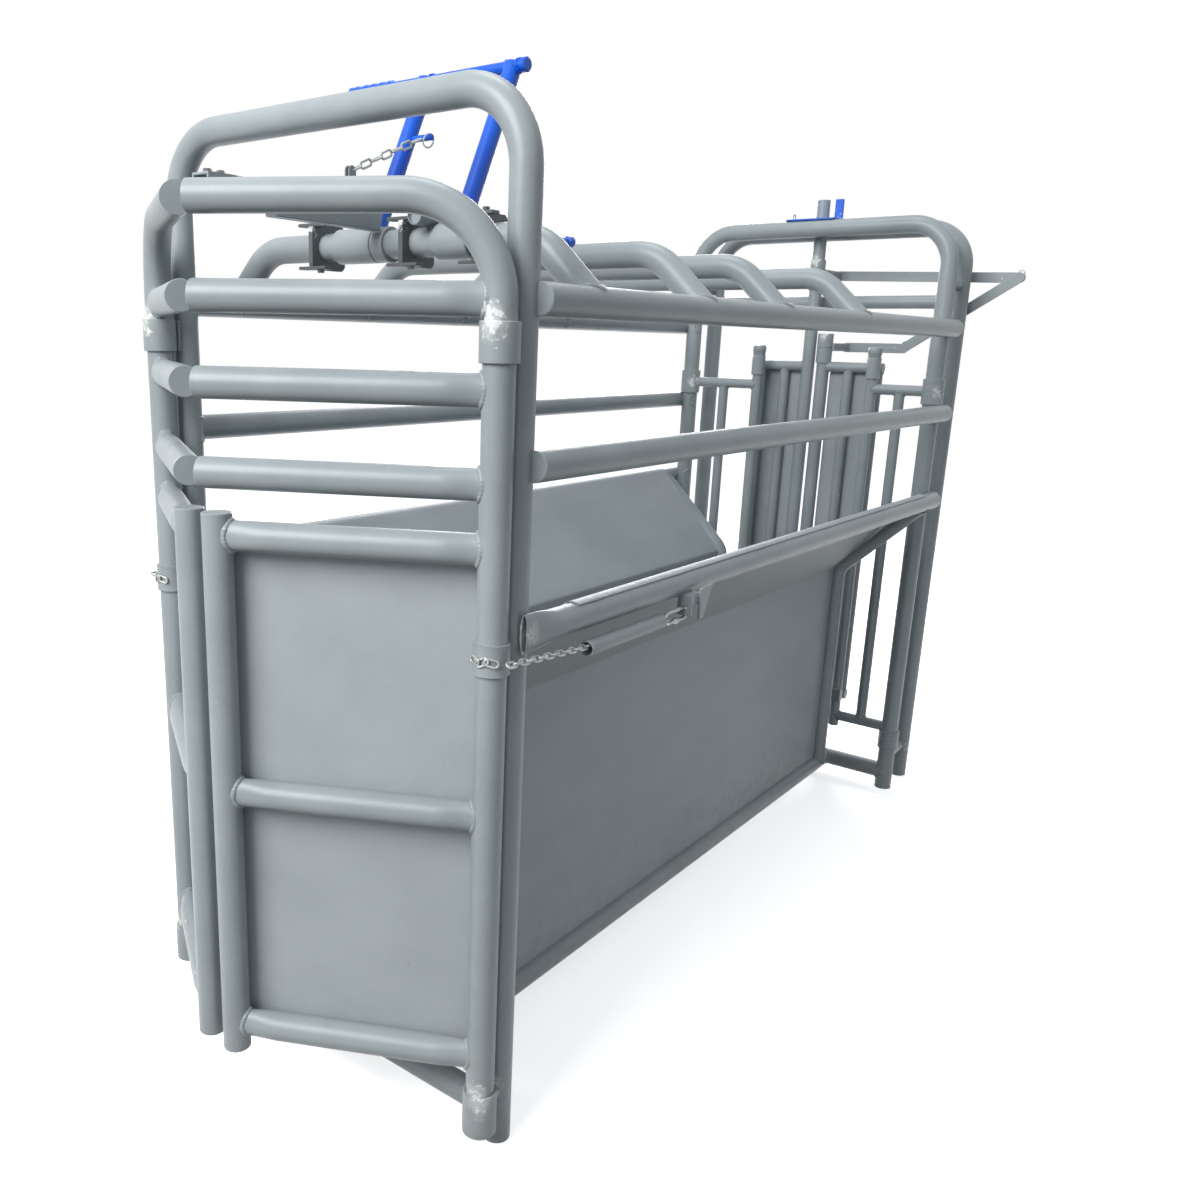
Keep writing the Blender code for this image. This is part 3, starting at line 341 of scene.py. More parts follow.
class Piece:
    """One piece of the chute, gathered from grids of points before it becomes a mesh."""

    def __init__(self, name):
        self.name = name
        self.points, self.faces, self.marks = [], [], []
        self.count = 0

    def add(self, grid, looped=False, capped=True, scuffed=0.0):
        """Rings of points: joined round, from ring to ring, and over the end rings unless it is looped."""
        rings, sides = grid.shape[:2]
        here = np.arange(rings if looped else rings - 1)[:, None]
        ahead = (here + 1) % rings
        j = np.arange(sides)[None, :]
        k = (j + 1) % sides
        quads = np.stack([here * sides + j, here * sides + k, ahead * sides + k, ahead * sides + j], -1)
        self.faces.extend((quads.reshape(-1, 4) + self.count).tolist())
        if capped and not looped:
            self.faces.append(list(range(self.count + sides - 1, self.count - 1, -1)))
            last = self.count + (rings - 1) * sides
            self.faces.append(list(range(last, last + sides)))
        self.points.append(grid.reshape(-1, 3))
        self.marks.append(np.full(rings * sides, float(scuffed)))
        self.count += rings * sides
        return self

    def weld(self, *args, **kwargs):
        """A bead, which carries the marks of the wire brush."""
        return self.add(bead(*args, **kwargs), looped=kwargs.get("offset", 0.0) <= 0, scuffed=0.1)

    def strut(self, start, end, radius, host, lies, **bead_size):
        """A straight bar, welded at both ends to tubes of radius host that lie along lies."""
        self.add(rod(start, end, radius))
        self.weld(start, np.subtract(end, start), lies, radius, host, **bead_size)
        self.weld(end, np.subtract(start, end), lies, radius, host, **bead_size)

    def show(self, look, body, replaces=None, worn=(), reach=0.05, smooth=40):
        """Makes the mesh. Wear runs from 1 at each worn point to 0 at the reach."""
        points = np.concatenate(self.points)
        wear_and_highlight = np.concatenate(self.marks)
        for spot in worn:
            distance = np.linalg.norm(points - spot, axis=1)
            wear_and_highlight = np.maximum(wear_and_highlight, np.clip(1 - distance / reach, 0, 1))
        mesh = bpy.data.meshes.new(self.name)
        mesh.from_pydata((points + ORIGIN).tolist(), [], self.faces)
        mesh.update()
        mark = mesh.attributes.new("wear_and_highlight", "FLOAT", "POINT")
        mark.data.foreach_set("value", wear_and_highlight.astype(np.float32))
        mesh.shade_smooth()
        mesh.set_sharp_from_angle(angle=radians(smooth))
        mesh.materials.append(look.owner)
        made = put(self.name, mesh)
        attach(made, body)
        if replaces:
            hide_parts(replaces)


def arch(piece, half, y):
    """A pipe up, over and down again: a bent line carried with a circle."""
    line = [(-half, y, 0.0), (-half, y, ARCH_TOP), (half, y, ARCH_TOP), (half, y, 0.0)]
    return piece.add(sweep(bent(line, ARCH_BEND), circle(PIPE), Y))


def both_sides(half, y, *heights):
    return [(side * half, y, z) for side in (1, -1) for z in heights]


arch(Piece("front_arch_pipe"), HALF_FRONT, 0.0).show(
    GREY, "frame", "front_arch", both_sides(HALF_FRONT, -0.028, 0.15))
arch(Piece("rear_arch_pipe"), HALF_REAR, LENGTH).show(
    GREY, "frame", "rear_arch", both_sides(HALF_REAR, LENGTH, 1.526, 0.2))

piece = arch(Piece("gate_arch_pipe"), HALF_REAR, GATE_Y)
for x in (HALF_REAR, -HALF_REAR):
    for z in SPACER_HEIGHTS:
        piece.add(rod((x, LENGTH + PIPE, z), (x, GATE_Y, z), SPACER_R))
        piece.weld((x, LENGTH, z), Y, Z, SPACER_R, PIPE)
        piece.weld((x, GATE_Y, z), -Y, Z, SPACER_R, PIPE)
piece.strut((-HALF_REAR, GATE_Y, HIGH_TUBE_Z), (HALF_REAR, GATE_Y, HIGH_TUBE_Z), HIGH_TUBE_R, PIPE, Z)

# The rocker's bracket is a pair of small plates on the near post, with the pivot pin through them
PIVOT_X, PIVOT_Z = 0.47, 1.80
FLAT = 0.008
ROCKER_Y = GATE_Y + PIPE + 0.028


def slab(outline, thick, origin, first, second, edge=0.0012):
    """A flat plate: an outline in the plane of first and second, given thickness along first x second,
    with chamfered edges. Its rings are the outline, drawn in by the edge on both faces."""
    outline = np.asarray(outline, float)
    first, second = unit(first), unit(second)
    before, after = outline - np.roll(outline, 1, 0), np.roll(outline, -1, 0) - outline
    before /= np.linalg.norm(before, axis=1)[:, None]
    after /= np.linalg.norm(after, axis=1)[:, None]
    lean = before + after
    inward = np.stack([-lean[:, 1], lean[:, 0]], 1)
    inward /= np.maximum(np.sum(lean * lean, axis=1) / 2, 0.4)[:, None]
    levels = ((-thick / 2, edge), (-thick / 2 + edge, 0.0), (thick / 2 - edge, 0.0), (thick / 2, edge))
    rings = [np.column_stack([outline + inward * inset, np.full(len(outline), level)])
             for level, inset in levels]
    axes = np.stack([first, second, np.cross(first, second)])
    return origin + np.array(rings) @ axes


def oblong(length, width, corner):
    """A rectangle with round corners, anticlockwise."""
    x, y = length / 2 - corner, width / 2 - corner
    centres = ((x, y), (-x, y), (-x, -y), (x, -y))
    return np.concatenate([centre + arc(k * pi / 2, (k + 1) * pi / 2, 5) * corner
                           for k, centre in enumerate(centres)])


for depth in (0.004, 0.018):
    piece.add(slab(oblong(0.05, 0.06, 0.006), 0.007, (PIVOT_X, GATE_Y + PIPE + depth, PIVOT_Z), Z, X),
              scuffed=0.35)
piece.add(rod((PIVOT_X, GATE_Y + PIPE, PIVOT_Z), (PIVOT_X, ROCKER_Y + FLAT + 0.016, PIVOT_Z), 0.007, 24))
piece.show(GREY, "frame", "gate_arch",
           [(PIVOT_X, GATE_Y, PIVOT_Z), *both_sides(HALF_REAR, GATE_Y, SPACER_HEIGHTS[0])])

# Long rails
# Straight pipe laid against the posts' outer quarter and welded there. The sheet rail's front end was
# pressed flat and left open, like the mouth of a flattened can.

RAIL_X = 0.526
FLOOR_X, FLOOR_Z = 0.24, 0.066
TOP_Z, MID_Z, SHEET_Z = 1.745, 1.452, 1.14
SIDES = ((1, "near"), (-1, "far"))
PAST = 0.008                   # rails end this far behind the rear posts' middle
MOUTH_DEPTH = 0.72             # share of the pipe's depth that the press takes
MOUTH_SPREAD = 0.28


def lap_weld(piece, x, y, z, way):
    """A bead where a rail lies against a post's outer quarter, on the post's front (-1) or rear side (1)."""
    piece.weld((x, y, z), way * Y, way * np.sign(x) * Z, offset=RAIL_X - abs(x))


for side, word in SIDES:
    for z, label in ((TOP_Z, "top_rail"), (MID_Z, "mid_rail")):
        piece = Piece(f"{word}_{label}_pipe")
        piece.add(rod((side * RAIL_X, 0.004, z), (side * RAIL_X, LENGTH + PAST, z), PIPE))
        lap_weld(piece, side * HALF_FRONT, 0.0, z, 1)
        lap_weld(piece, side * HALF_REAR, LENGTH, z, -1)
        piece.show(GREY, "frame", f"{word}_{label}")

    y = np.concatenate([[0.02, -0.016], np.linspace(-0.018, 0.12, 30), np.linspace(0.14, LENGTH + PAST, 120)])
    wall = np.concatenate([[0.0032, 0.0028], np.zeros(150)])[:, None]
    press = np.clip((0.1 - y) / 0.088, 0, 1)
    press = (press * press * (3 - 2 * press))[:, None]
    ring = circle(1.0, 40).T
    grid = np.empty((len(y), 40, 3))
    grid[..., 0] = side * (RAIL_X + 0.006 * press) + (PIPE * (1 - MOUTH_DEPTH * press) - wall) * ring[0]
    grid[..., 1] = y[:, None]
    grid[..., 2] = SHEET_Z - (PIPE * (1 + MOUTH_SPREAD * press) - wall) * ring[1]
    piece = Piece(f"{word}_sheet_rail_pipe")
    piece.add(grid)
    lap_weld(piece, side * HALF_REAR, LENGTH, SHEET_Z, -1)
    piece.show(GREY, "frame", f"{word}_sheet_rail", [(side * RAIL_X, 0.0, SHEET_Z)])

    piece = Piece(f"{word}_bottom_rail_pipe")
    piece.strut((side * FLOOR_X, 0.0, FLOOR_Z), (side * FLOOR_X, LENGTH, FLOOR_Z), PIPE, PIPE, X)
    piece.show(GREY, "frame", f"{word}_bottom_rail")

for y, half, word in ((0.0, HALF_FRONT, "front"), (LENGTH, HALF_REAR, "rear")):
    piece = Piece(f"{word}_cross_tube_pipe")
    piece.strut((-half, y, FLOOR_Z), (half, y, FLOOR_Z), PIPE, PIPE, Z)
    piece.show(GREY, "frame", f"{word}_cross_tube")

# Side sheets
# Each is one 3 mm steel sheet, hooked over its rail and stitch-welded there. It slopes in to a fold at
# belly height and drops to the bottom rail. Its rear edge is framed by a bent pipe.

SHEET = 0.003
FOLD_Z = 0.862
END_Y, END_BEND = 2.395, 0.07
STITCHES = (0.17, 0.52, 0.95, 1.4, 1.85, 2.24)
STITCH_LEN = 0.085


def sheet_profile():
    """Across the sheet: an arc over the rail, a straight slope, the fold, and the drop."""
    offset = PIPE + 0.0018
    leave = atan2(FOLD_Z - SHEET_Z, FLOOR_X - RAIL_X) + 1.5 * pi
    hook = arc(radians(62), leave, 24) @ [X, Z] * offset + [RAIL_X, 0, SHEET_Z]
    rest = bent([hook[-1], (FLOOR_X, 0, FOLD_Z), (FLOOR_X, 0, FLOOR_Z + PIPE)], 0.012)
    return np.concatenate([hook[:-1], rest])


def two_faced(middle, square, dent):
    """Both faces of a sheet as one closed ring after another: middle + square (dent +- SHEET / 2)."""
    outer = middle + square * (dent[..., None] + SHEET / 2)
    inner = middle + square * (dent[..., None] - SHEET / 2)
    return np.concatenate([outer, inner[:, ::-1]], axis=1)


line = sheet_profile()
travel = travel_along(line)
y = np.concatenate([np.linspace(PIPE + 0.004, 0.13, 10), np.linspace(0.14, 0.16, 6),
                    np.linspace(0.18, END_Y - PIPE, 110)])
# The sheet's upper edge starts lower beside the flattened rail end
notch = np.clip((0.156 - y) / 0.012, 0, 1)[:, None] * 0.078
share = notch + (travel[-1] - notch) * (travel / travel[-1])[None, :]
path = np.stack([np.interp(share, travel, line[:, 0]), np.broadcast_to(y[:, None], share.shape),
                 np.interp(share, travel, line[:, 2])], -1)
flat = np.gradient(path, axis=1)
flat = np.stack([-flat[..., 2], np.zeros(share.shape), flat[..., 0]], -1)
flat /= np.linalg.norm(flat, axis=-1)[..., None]
# Oil-canning: the flats stand a millimetre or two out of true between the stitches
calm = np.clip((share - 0.1) / 0.1, 0, 1) * np.clip((travel[-1] - share) / 0.1, 0, 1)
dent = 0.0014 * np.sin(y[:, None] * 5.3 + share * 3.0) * np.sin(share * 7.0 + 0.6) * calm
near_sheet = two_faced(path, flat, dent)

for side, word in SIDES:
    grid = near_sheet * [side, 1, 1]
    Piece(f"{word}_side_panel").add(grid[:, ::-side]).show(
        SHEET_GREY, "frame", f"{word}_side_sheet", smooth=30)
    piece = Piece(f"{word}_stitch_welds")
    seam = np.array([side * (line[0, 0] - 0.0006), 0.0, line[0, 2] + 0.0004])
    for y in STITCHES:
        run = np.linspace(y, y + STITCH_LEN, 30)
        bulge = np.sqrt(np.clip((run - y) * (y + STITCH_LEN + 0.001 - run), 0, None)) / 0.043
        size = 0.0026 * (1 + 0.2 * np.sin(run * 900)) * bulge
        piece.add(sweep(seam + run[:, None] * Y, circle(1.0, 8) * size[:, None, None], Z))
    piece.show(GREY, "frame")

    end_x = side * (FLOOR_X + 0.004)
    corners = [(side * RAIL_X, END_Y, SHEET_Z - 0.004), (end_x, END_Y, FOLD_Z), (end_x, END_Y, FLOOR_Z)]
    piece = Piece(f"{word}_end_pipe")
    piece.add(sweep(bent(corners, END_BEND), circle(PIPE), Y))
    piece.weld(corners[0], np.subtract(corners[1], corners[0]), Y)
    piece.weld(corners[2], Z, Y)
    piece.show(GREY, "frame", f"{word}_end_tube")

# Roof bows
# Four pipes bent at both ends and welded down on the top rails.

BOW_Y = (0.18, 0.63, 1.04, 1.59)
BOW_Z, BOW_FLAT, BOW_BEND = 1.868, 0.395, 0.13

for number, y in enumerate(BOW_Y, 1):
    corners = [(-RAIL_X, y, TOP_Z), (-BOW_FLAT, y, BOW_Z), (BOW_FLAT, y, BOW_Z), (RAIL_X, y, TOP_Z)]
    piece = Piece(f"bow_pipe_{number}")
    piece.add(sweep(bent(corners, BOW_BEND), circle(PIPE), Y))
    for end, inner in (corners[:2], corners[:1:-1]):
        piece.weld(end, np.subtract(inner, end), Y)
    piece.show(GREY, "frame", f"bow_{number}")

# Front gates
# Each gate is a bent pipe that turns in a strap above and a cup below, with rails welded to it like the
# teeth of a comb. The lower half is framed by a tip pipe and closed by a sheet on the inside.

HINGE_X, HINGE_SET = 0.497, 0.068
TIP_X, TIP_Y, TIP_GAP = -0.02, -0.338, 0.034
GATE_TOP, GATE_BEND = 1.911, 0.175
GATE_RAILS = (1.742, 1.588, 1.422)
GATE_PANEL = (1.303, 0.774, 0.238)
GATE_BEAD = 0.0055
PRESSED = 0.72                 # depth of a rail's pressed end, as a share of the pipe's
STRAP_Z, STRAP_H = 1.67, 0.072
CUP_LOW, CUP_H, CUP_WALL = 0.058, 0.1, 0.006
BAND_Z, BAND_H, BAND_R, BAND_WALL = 1.1, 0.06, 0.03515, 0.0028
LINK_WIRE, LINK_WIDTH, LINK_LENGTH = 0.005, 0.018, 0.037
LINK_PITCH = LINK_LENGTH - 1.6 * LINK_WIRE
WRAPPED = np.radians([108, 80, 52])


def stadium(length, width, count=40, between=0):
    """A closed line in a plane: two half circles joined by straights, given by its outer size."""
    radius = width / 2
    reach = length / 2 - radius
    end = arc(-pi / 2, pi / 2, count // 2) * radius + [reach, 0]
    side = np.linspace(reach, -reach, between + 2)[1:-1, None] * [1.0, 0.0] + [0, radius]
    return np.concatenate([end, side, -end, -side])


def link(piece, centre, along, across, length=LINK_LENGTH, width=LINK_WIDTH, wire=LINK_WIRE,
         sides=12, count=32, scuffed=0.0):
    """Adds one closed link of round wire."""
    path = centre + stadium(length - wire, width - wire, count) @ [unit(along), unit(across)]
    grid = sweep(path, circle(wire / 2, sides), np.cross(along, across), closed=True)
    piece.add(grid, looped=True, scuffed=scuffed)


def pressed(start, end, face, ends):
    """A pipe whose ends, where ends says 1, are pressed along face to the PRESSED share of their depth,
    smoothly over 70 mm, so that they sit on a pipe of the same size."""
    grid = rod(start, end, PIPE, step=0.01)
    travel = (grid - start) @ unit(end - start)
    squeeze = np.zeros(travel.shape)
    for taken, where in zip(ends, (travel, np.linalg.norm(end - start) - travel)):
        near = np.clip(1 - (where - PIPE) / 0.07, 0, 1)
        squeeze += taken * near * near * (3 - 2 * near)
    return grid - (((grid - start) @ face) * squeeze * (1 - PRESSED))[..., None] * face


def collar(piece, at, axis, low, high, bore, radius, edge, groove=(), sides=48):
    """Adds a short tube, turned from a wall that runs out over one end, along, and in over the other."""
    wall = [(low, bore), (low, radius - edge), (low + edge, radius), *groove,
            (high - edge, radius), (high, radius - edge), (high, bore)]
    piece.add(turned(at, axis, wall, sides), capped=False)


for side, word in SIDES:
    hinge = np.array([side * HINGE_X, -HINGE_SET, 0.0])
    tip = np.array([TIP_X + side * TIP_GAP / 2, TIP_Y, 0.0])
    along = unit(tip - hinge)
    stile = tip - along * PIPE
    plane = np.cross(Z, along)
    foot = hinge + Z * (CUP_LOW + CUP_WALL + 0.0016)
    piece = Piece(f"{word}_gate_frame")
    piece.add(sweep(bent([foot, hinge + Z * GATE_TOP, tip + Z * GATE_TOP], GATE_BEND), circle(PIPE), plane))
    # The far gate's rails get raised wear all over: its pale chalky dabs are partly real wear and partly a
    # painted highlight for their lit faces.
    painted_highlight_scuff = 0.0 if side > 0 else 0.25
    for z in GATE_RAILS + GATE_PANEL:
        framed = z in GATE_PANEL
        end = stile if framed else tip
        piece.add(pressed(hinge + Z * z, end + Z * z, plane, (1, framed)), scuffed=painted_highlight_scuff)
        piece.weld(hinge + Z * z, along, Z, size=GATE_BEAD, deep=PRESSED)
        if framed:
            piece.weld(stile + Z * z, -along, Z, size=GATE_BEAD, deep=PRESSED)
    piece.add(rod(stile + Z * 0.176, stile + Z * 1.347, PIPE * 0.985))
    # The lug under the latch, and the band that holds the chain
    lug_at = (TIP_X + side * 0.008, -0.2895, GATE_TOP + 0.001)
    piece.add(slab(oblong(0.078, 0.034, 0.004), 0.008, lug_at, Y, Z))
    band = [(-BAND_H / 2, BAND_R - BAND_WALL), (-BAND_H / 2, BAND_R + 0.001), (0.004 - BAND_H / 2, BAND_R),
            (BAND_H / 2 - 0.004, BAND_R), (BAND_H / 2, BAND_R + 0.001), (BAND_H / 2, BAND_R - BAND_WALL)]
    piece.add(turned(hinge + Z * BAND_Z, Z, band, 48), scuffed=0.2)
    piece.show(GREY, f"{word}_gate", f"{word}_gate",
               [hinge + [side * 0.005, -0.037, STRAP_Z + 0.046],
                hinge + [side * 0.012, -0.026, CUP_LOW + 0.108]], 0.044)

    piece = Piece(f"{word}_wrapped_links")
    for number, turn in enumerate(WRAPPED):
        out = np.array([side * cos(turn), -sin(turn), 0.0])
        tilt = radians(24 if number % 2 else -14)
        across = Z * cos(tilt) + np.cross(out, Z) * sin(tilt)
        at = hinge + Z * BAND_Z + out * (BAND_R + 0.0022)
        link(piece, at, np.cross(across, out), across, LINK_LENGTH * 0.85)
    piece.show(ZINC, f"{word}_gate")

    # Sheet on the inner side, a little out of true
    inward = plane if plane[1] > 0 else -plane
    edge = hinge + along * 0.02
    width = np.linalg.norm(stile - edge)
    u, v = np.meshgrid(np.linspace(0, 1, 60), np.linspace(GATE_PANEL[2], GATE_PANEL[0], 90), indexing="ij")
    dent = 0.0016 * np.sin(u * pi) * np.sin((v - GATE_PANEL[2]) * 5.9) * np.cos(u * 5 + v * 2)
    middle = edge + along * (u * width)[..., None] + Z * v[..., None] + inward * (PIPE + 0.0003 + SHEET / 2)
    Piece(f"{word}_gate_panel").add(two_faced(middle, inward, dent)[:, ::side]).show(
        SHEET_GREY, f"{word}_gate", f"{word}_gate_sheet", smooth=30)

    # Strap: a short ring round the gate pipe, welded down both sides to the post behind it
    high = STRAP_H / 2
    piece = Piece(f"{word}_strap_ring")
    collar(piece, hinge + Z * STRAP_Z, Z, -high, high, PIPE + 0.0012, PIPE + 0.0068, 0.0016, sides=56)
    run = np.linspace(0.002 - high, high - 0.002, 36)
    size = 0.0048 * (1 + 0.12 * np.sin(run * 700))
    for way in (1, -1):
        valley = np.array([side * HALF_FRONT + way * 0.015, -0.0305, STRAP_Z])
        piece.add(sweep(valley + run[:, None] * Z, circle(1.0, 10) * size[:, None, None], X), scuffed=0.3)
    piece.show(GREY, "frame", f"{word}_hinge_strap",
               [hinge + [side * 0.002, -0.034, STRAP_Z + high],
                hinge + [side * 0.024, -0.024, STRAP_Z + 0.02]], 0.036)

    # Cup: a pipe end with a floor, on a short arm from the post
    outer_r = PIPE + CUP_WALL
    wall = [(0.0, outer_r - 0.002), (0.002, outer_r), (CUP_H - 0.002, outer_r), (CUP_H, outer_r - 0.001),
            (CUP_H, PIPE + 0.0012), (CUP_WALL, PIPE + 0.0011)]
    piece = Piece(f"{word}_cup_shell")
    piece.add(turned(hinge + Z * CUP_LOW, Z, wall, 48))
    arm = (side * (HINGE_X - 0.002), -0.0335, CUP_LOW + 0.072)
    piece.add(slab(oblong(0.027, 0.04, 0.003), 0.016, arm, Y, -X))
    piece.show(GREY, "frame", f"{word}_hinge_cup",
               [hinge + [side * 0.022, -0.028, CUP_LOW + CUP_H - 0.012],
                hinge + [side * 0.03, -0.012, CUP_LOW + CUP_H - 0.03]], 0.046)

# Gate openers
# A twisted chain runs from the gate's band into the mouth of a spring tube that lies under the sheet
# rail. A quick link draws the tube's rear eye back to a lug on the rail.

SPRING_X, SPRING_Z, SPRING_Y, SPRING_LEN = 0.556, 1.079, 0.166, 0.3
SPRING_R, SPRING_WALL = 0.0167, 0.003
SPRING_REAR = SPRING_Y + SPRING_LEN
CHAIN_REST = 0.024
TWIST = radians(28)
SNAP_LEN, SNAP_WIDTH, SNAP_WIRE = 0.104, 0.034, 0.0085
SNAP_Y = SPRING_REAR + 0.0136 + SNAP_LEN / 2
BEND_R = 0.009                 # inside the quick link's rear bend, where the lug's lower lip bears
LIP = 0.006                    # half the lip's height
LUG_THICK = 0.007
LUG_Y = (SNAP_Y + SNAP_LEN / 2 - SNAP_WIDTH / 2
         + sqrt((BEND_R * cos(pi / 12)) ** 2 - LIP ** 2) - 0.0039)

for side, word in SIDES:
    rise = (SPRING_R - SPRING_WALL) * cos(pi / 20) - LINK_WIDTH / 2 - 0.0006
    wrap = hypot(BAND_R + LINK_WIRE, LINK_LENGTH / 2) + 0.0008
    start = np.array([side * (HINGE_X + wrap + LINK_WIDTH / 2), -HINGE_SET - CHAIN_REST, BAND_Z])
    mouth = np.array([side * (SPRING_X - 0.0008), SPRING_Y + LINK_WIRE, SPRING_Z + rise])
    along = unit(start - mouth)
    other = np.cross(along, Z)
    piece = Piece(f"{word}_chain_run")
    pitch = LINK_PITCH * 0.66
    for i in range(1 + int(np.linalg.norm(start - mouth) / pitch)):
        turn = TWIST if i % 2 else -TWIST
        across = other * cos(turn) + Z * sin(turn)
        link(piece, mouth + along * (i * pitch), along, across, LINK_LENGTH * 0.78, wire=0.0055)
    piece.show(ZINC, f"{word}_chain", f"{word}_chain")

    x = side * SPRING_X
    barrel = [(0.16, SPRING_R - SPRING_WALL), (0.0, SPRING_R - SPRING_WALL), (0.0, SPRING_R - 0.0006),
              (0.0008, SPRING_R), *[(d, SPRING_R) for d in np.linspace(0.02, SPRING_LEN - 0.004, 14)],
              (SPRING_LEN, SPRING_R - 0.004)]
    piece = Piece(f"{word}_spring_barrel")
    piece.add(turned((x, SPRING_Y, SPRING_Z), Y, barrel, 40))
    link(piece, (x, SPRING_REAR + 0.011, SPRING_Z), Y, X, 0.034, 0.026, 0.006, scuffed=0.4)
    piece.show(GREY, "frame", f"{word}_spring_tube",
               [(x, SPRING_Y, SPRING_Z), (x, SPRING_REAR, SPRING_Z)], 0.03)

    piece = Piece(f"{word}_snap_link")
    link(piece, (x, SNAP_Y, SPRING_Z), Y, Z, SNAP_LEN, SNAP_WIDTH, SNAP_WIRE, 16, 48)
    nut = [(0.0, 0.0052), (0.001, 0.0068), (0.017, 0.0068), (0.018, 0.0052)]
    piece.add(turned((x, SNAP_Y - 0.009, SPRING_Z - 0.013), Y, nut, 6))
    piece.show(ZINC, "frame", f"{word}_quick_link")

    # The lug: a plate with a window for the link, set in a bracket under the rail
    piece = Piece(f"{word}_rail_lug")
    for width, height, dx, dz in ((0.036, 2 * LIP, 0.002, 0.0), (0.036, 0.024, 0.002, 0.032),
                                  (0.011, 0.016, -0.0115, 0.013), (0.011, 0.016, 0.0145, 0.013)):
        corner = 0.002 if width > height else 0.001
        at = (x + side * dx, LUG_Y, SPRING_Z + dz)
        piece.add(slab(oblong(width, height, corner), LUG_THICK, at, X, Z))
    shape = [(LUG_Y + 0.04, -0.02), (LUG_Y + 0.058, -0.02), (LUG_Y + 0.096, 0.056), (LUG_Y + 0.036, 0.052)]
    piece.add(slab(shape, 0.006, (side * (SPRING_X + 0.018), 0, SPRING_Z), Y, Z))
    shape = [(LUG_Y + 0.0012, 0.022), (LUG_Y + 0.046, 0.012), (LUG_Y + 0.046, 0.043), (LUG_Y + 0.0012, 0.043)]
    piece.add(slab(shape, 0.03, (side * (SPRING_X - 0.001), 0, SPRING_Z), Y, Z))
    piece.show(GREY, "frame", f"{word}_anchor", [(x, LUG_Y + 0.04, SPRING_Z + 0.04)])

# Trip lever
# Two blue pipes stand on sleeves that turn on the first bow. A rod through their tops carries a ribbed
# grip, and a short pin on the far leg, with a loose ring, holds the latch chain.

SLEEVE_R = 0.037
LATCH_X, LATCH_W = -0.012, 0.036
LEG_X = (-0.0545, 0.185)
LEG_R, CROSS_R = 0.019, 0.0127
LEAN = radians(26)
LEVER_TOP = 2.225
RISE = np.array([0.0, sin(LEAN), cos(LEAN)])
TRIP = np.array([0.0, BOW_Y[0], BOW_Z])
REACH = (LEVER_TOP - BOW_Z) / cos(LEAN)
GRIP_LEN, GRIP_R, RIB = 0.14, 0.0165, 0.026


def sleeve(piece, x0, x1):
    collar(piece, (x0, TRIP[1], BOW_Z), X, 0.0, x1 - x0, PIPE + 0.001, SLEEVE_R, 0.0016)


sleeves = Piece("trip_lever_sleeves")
piece = Piece("trip_lever_frame")
spans = ((LEG_X[0] - 0.095, LATCH_X - LATCH_W / 2 - 0.002), (LEG_X[1] - 0.04, LEG_X[1] + 0.05))
for x, (x0, x1) in zip(LEG_X, spans):
    sleeve(sleeves, x0, x1)
    foot = TRIP + X * x
    piece.add(rod(foot + RISE * 0.034, foot + RISE * (REACH + 0.004), LEG_R, 32, 0.001))
    sleeves.weld(foot, RISE, X, LEG_R, SLEEVE_R)
    for toward in (X, -X):
        piece.weld(foot + RISE * REACH, toward, RISE, CROSS_R, LEG_R, size=0.003)
sleeves.show(GREY, "trip_lever")
top = TRIP + RISE * REACH
grip_start = top + X * (LEG_X[0] - 0.108)
knob = top + X * (LEG_X[1] + 0.033)
piece.add(rod(grip_start, knob, CROSS_R, 28))
piece.add(rod(knob - X * 0.011, knob + X * 0.006, 0.0148, 28, 0.003))
clevis = TRIP + RISE * REACH * 0.64
piece.add(rod(clevis + X * LEG_X[0], clevis + X * (LATCH_X + 0.03), 0.007, 20))
piece.show(BLUE, "trip_lever", "trip_lever", [TRIP + X * x + RISE * 0.05 for x in LEG_X], 0.04)
piece = Piece("clevis_ring")
ring_at = clevis + X * (LATCH_X + 0.022) - RISE * 0.008
link(piece, ring_at, RISE + 0.35 * X, np.cross(RISE, X), 0.032, 0.031, 0.0036)
piece.show(ZINC, "trip_lever")

d = np.linspace(0, GRIP_LEN, 90)
ribs = GRIP_R * (0.86 + 0.14 * np.clip(0.5 + 1.6 * np.cos((d - 0.012) / RIB * 2 * pi), 0, 1))
ends = np.clip(np.minimum(d, GRIP_LEN - d) / 0.003, 0.0, 1.0)
profile = np.column_stack([d, ribs * (0.8 + 0.2 * np.sqrt(ends))])
Piece("ribbed_grip").add(turned(grip_start + X * 0.012, -X, profile, 32)).show(
    BLUE, "trip_lever", "trip_grip")

# Latch bar
# A plate on edge with a folded channel at its head, which drops over the two gate lugs. It turns on
# its own collar, and the chain from the lever lifts it by a lug of two plates.

HEAD_W, HEAD_LEN, HEAD_Y = 0.047, 0.064, -0.265
HEAD_DROP, HEAD_WALL = 0.026, 0.0045
BEAM_TOP = GATE_TOP + PIPE + 0.016
LUG_EYE = np.array([LATCH_X, 0.073, BEAM_TOP + 0.046])

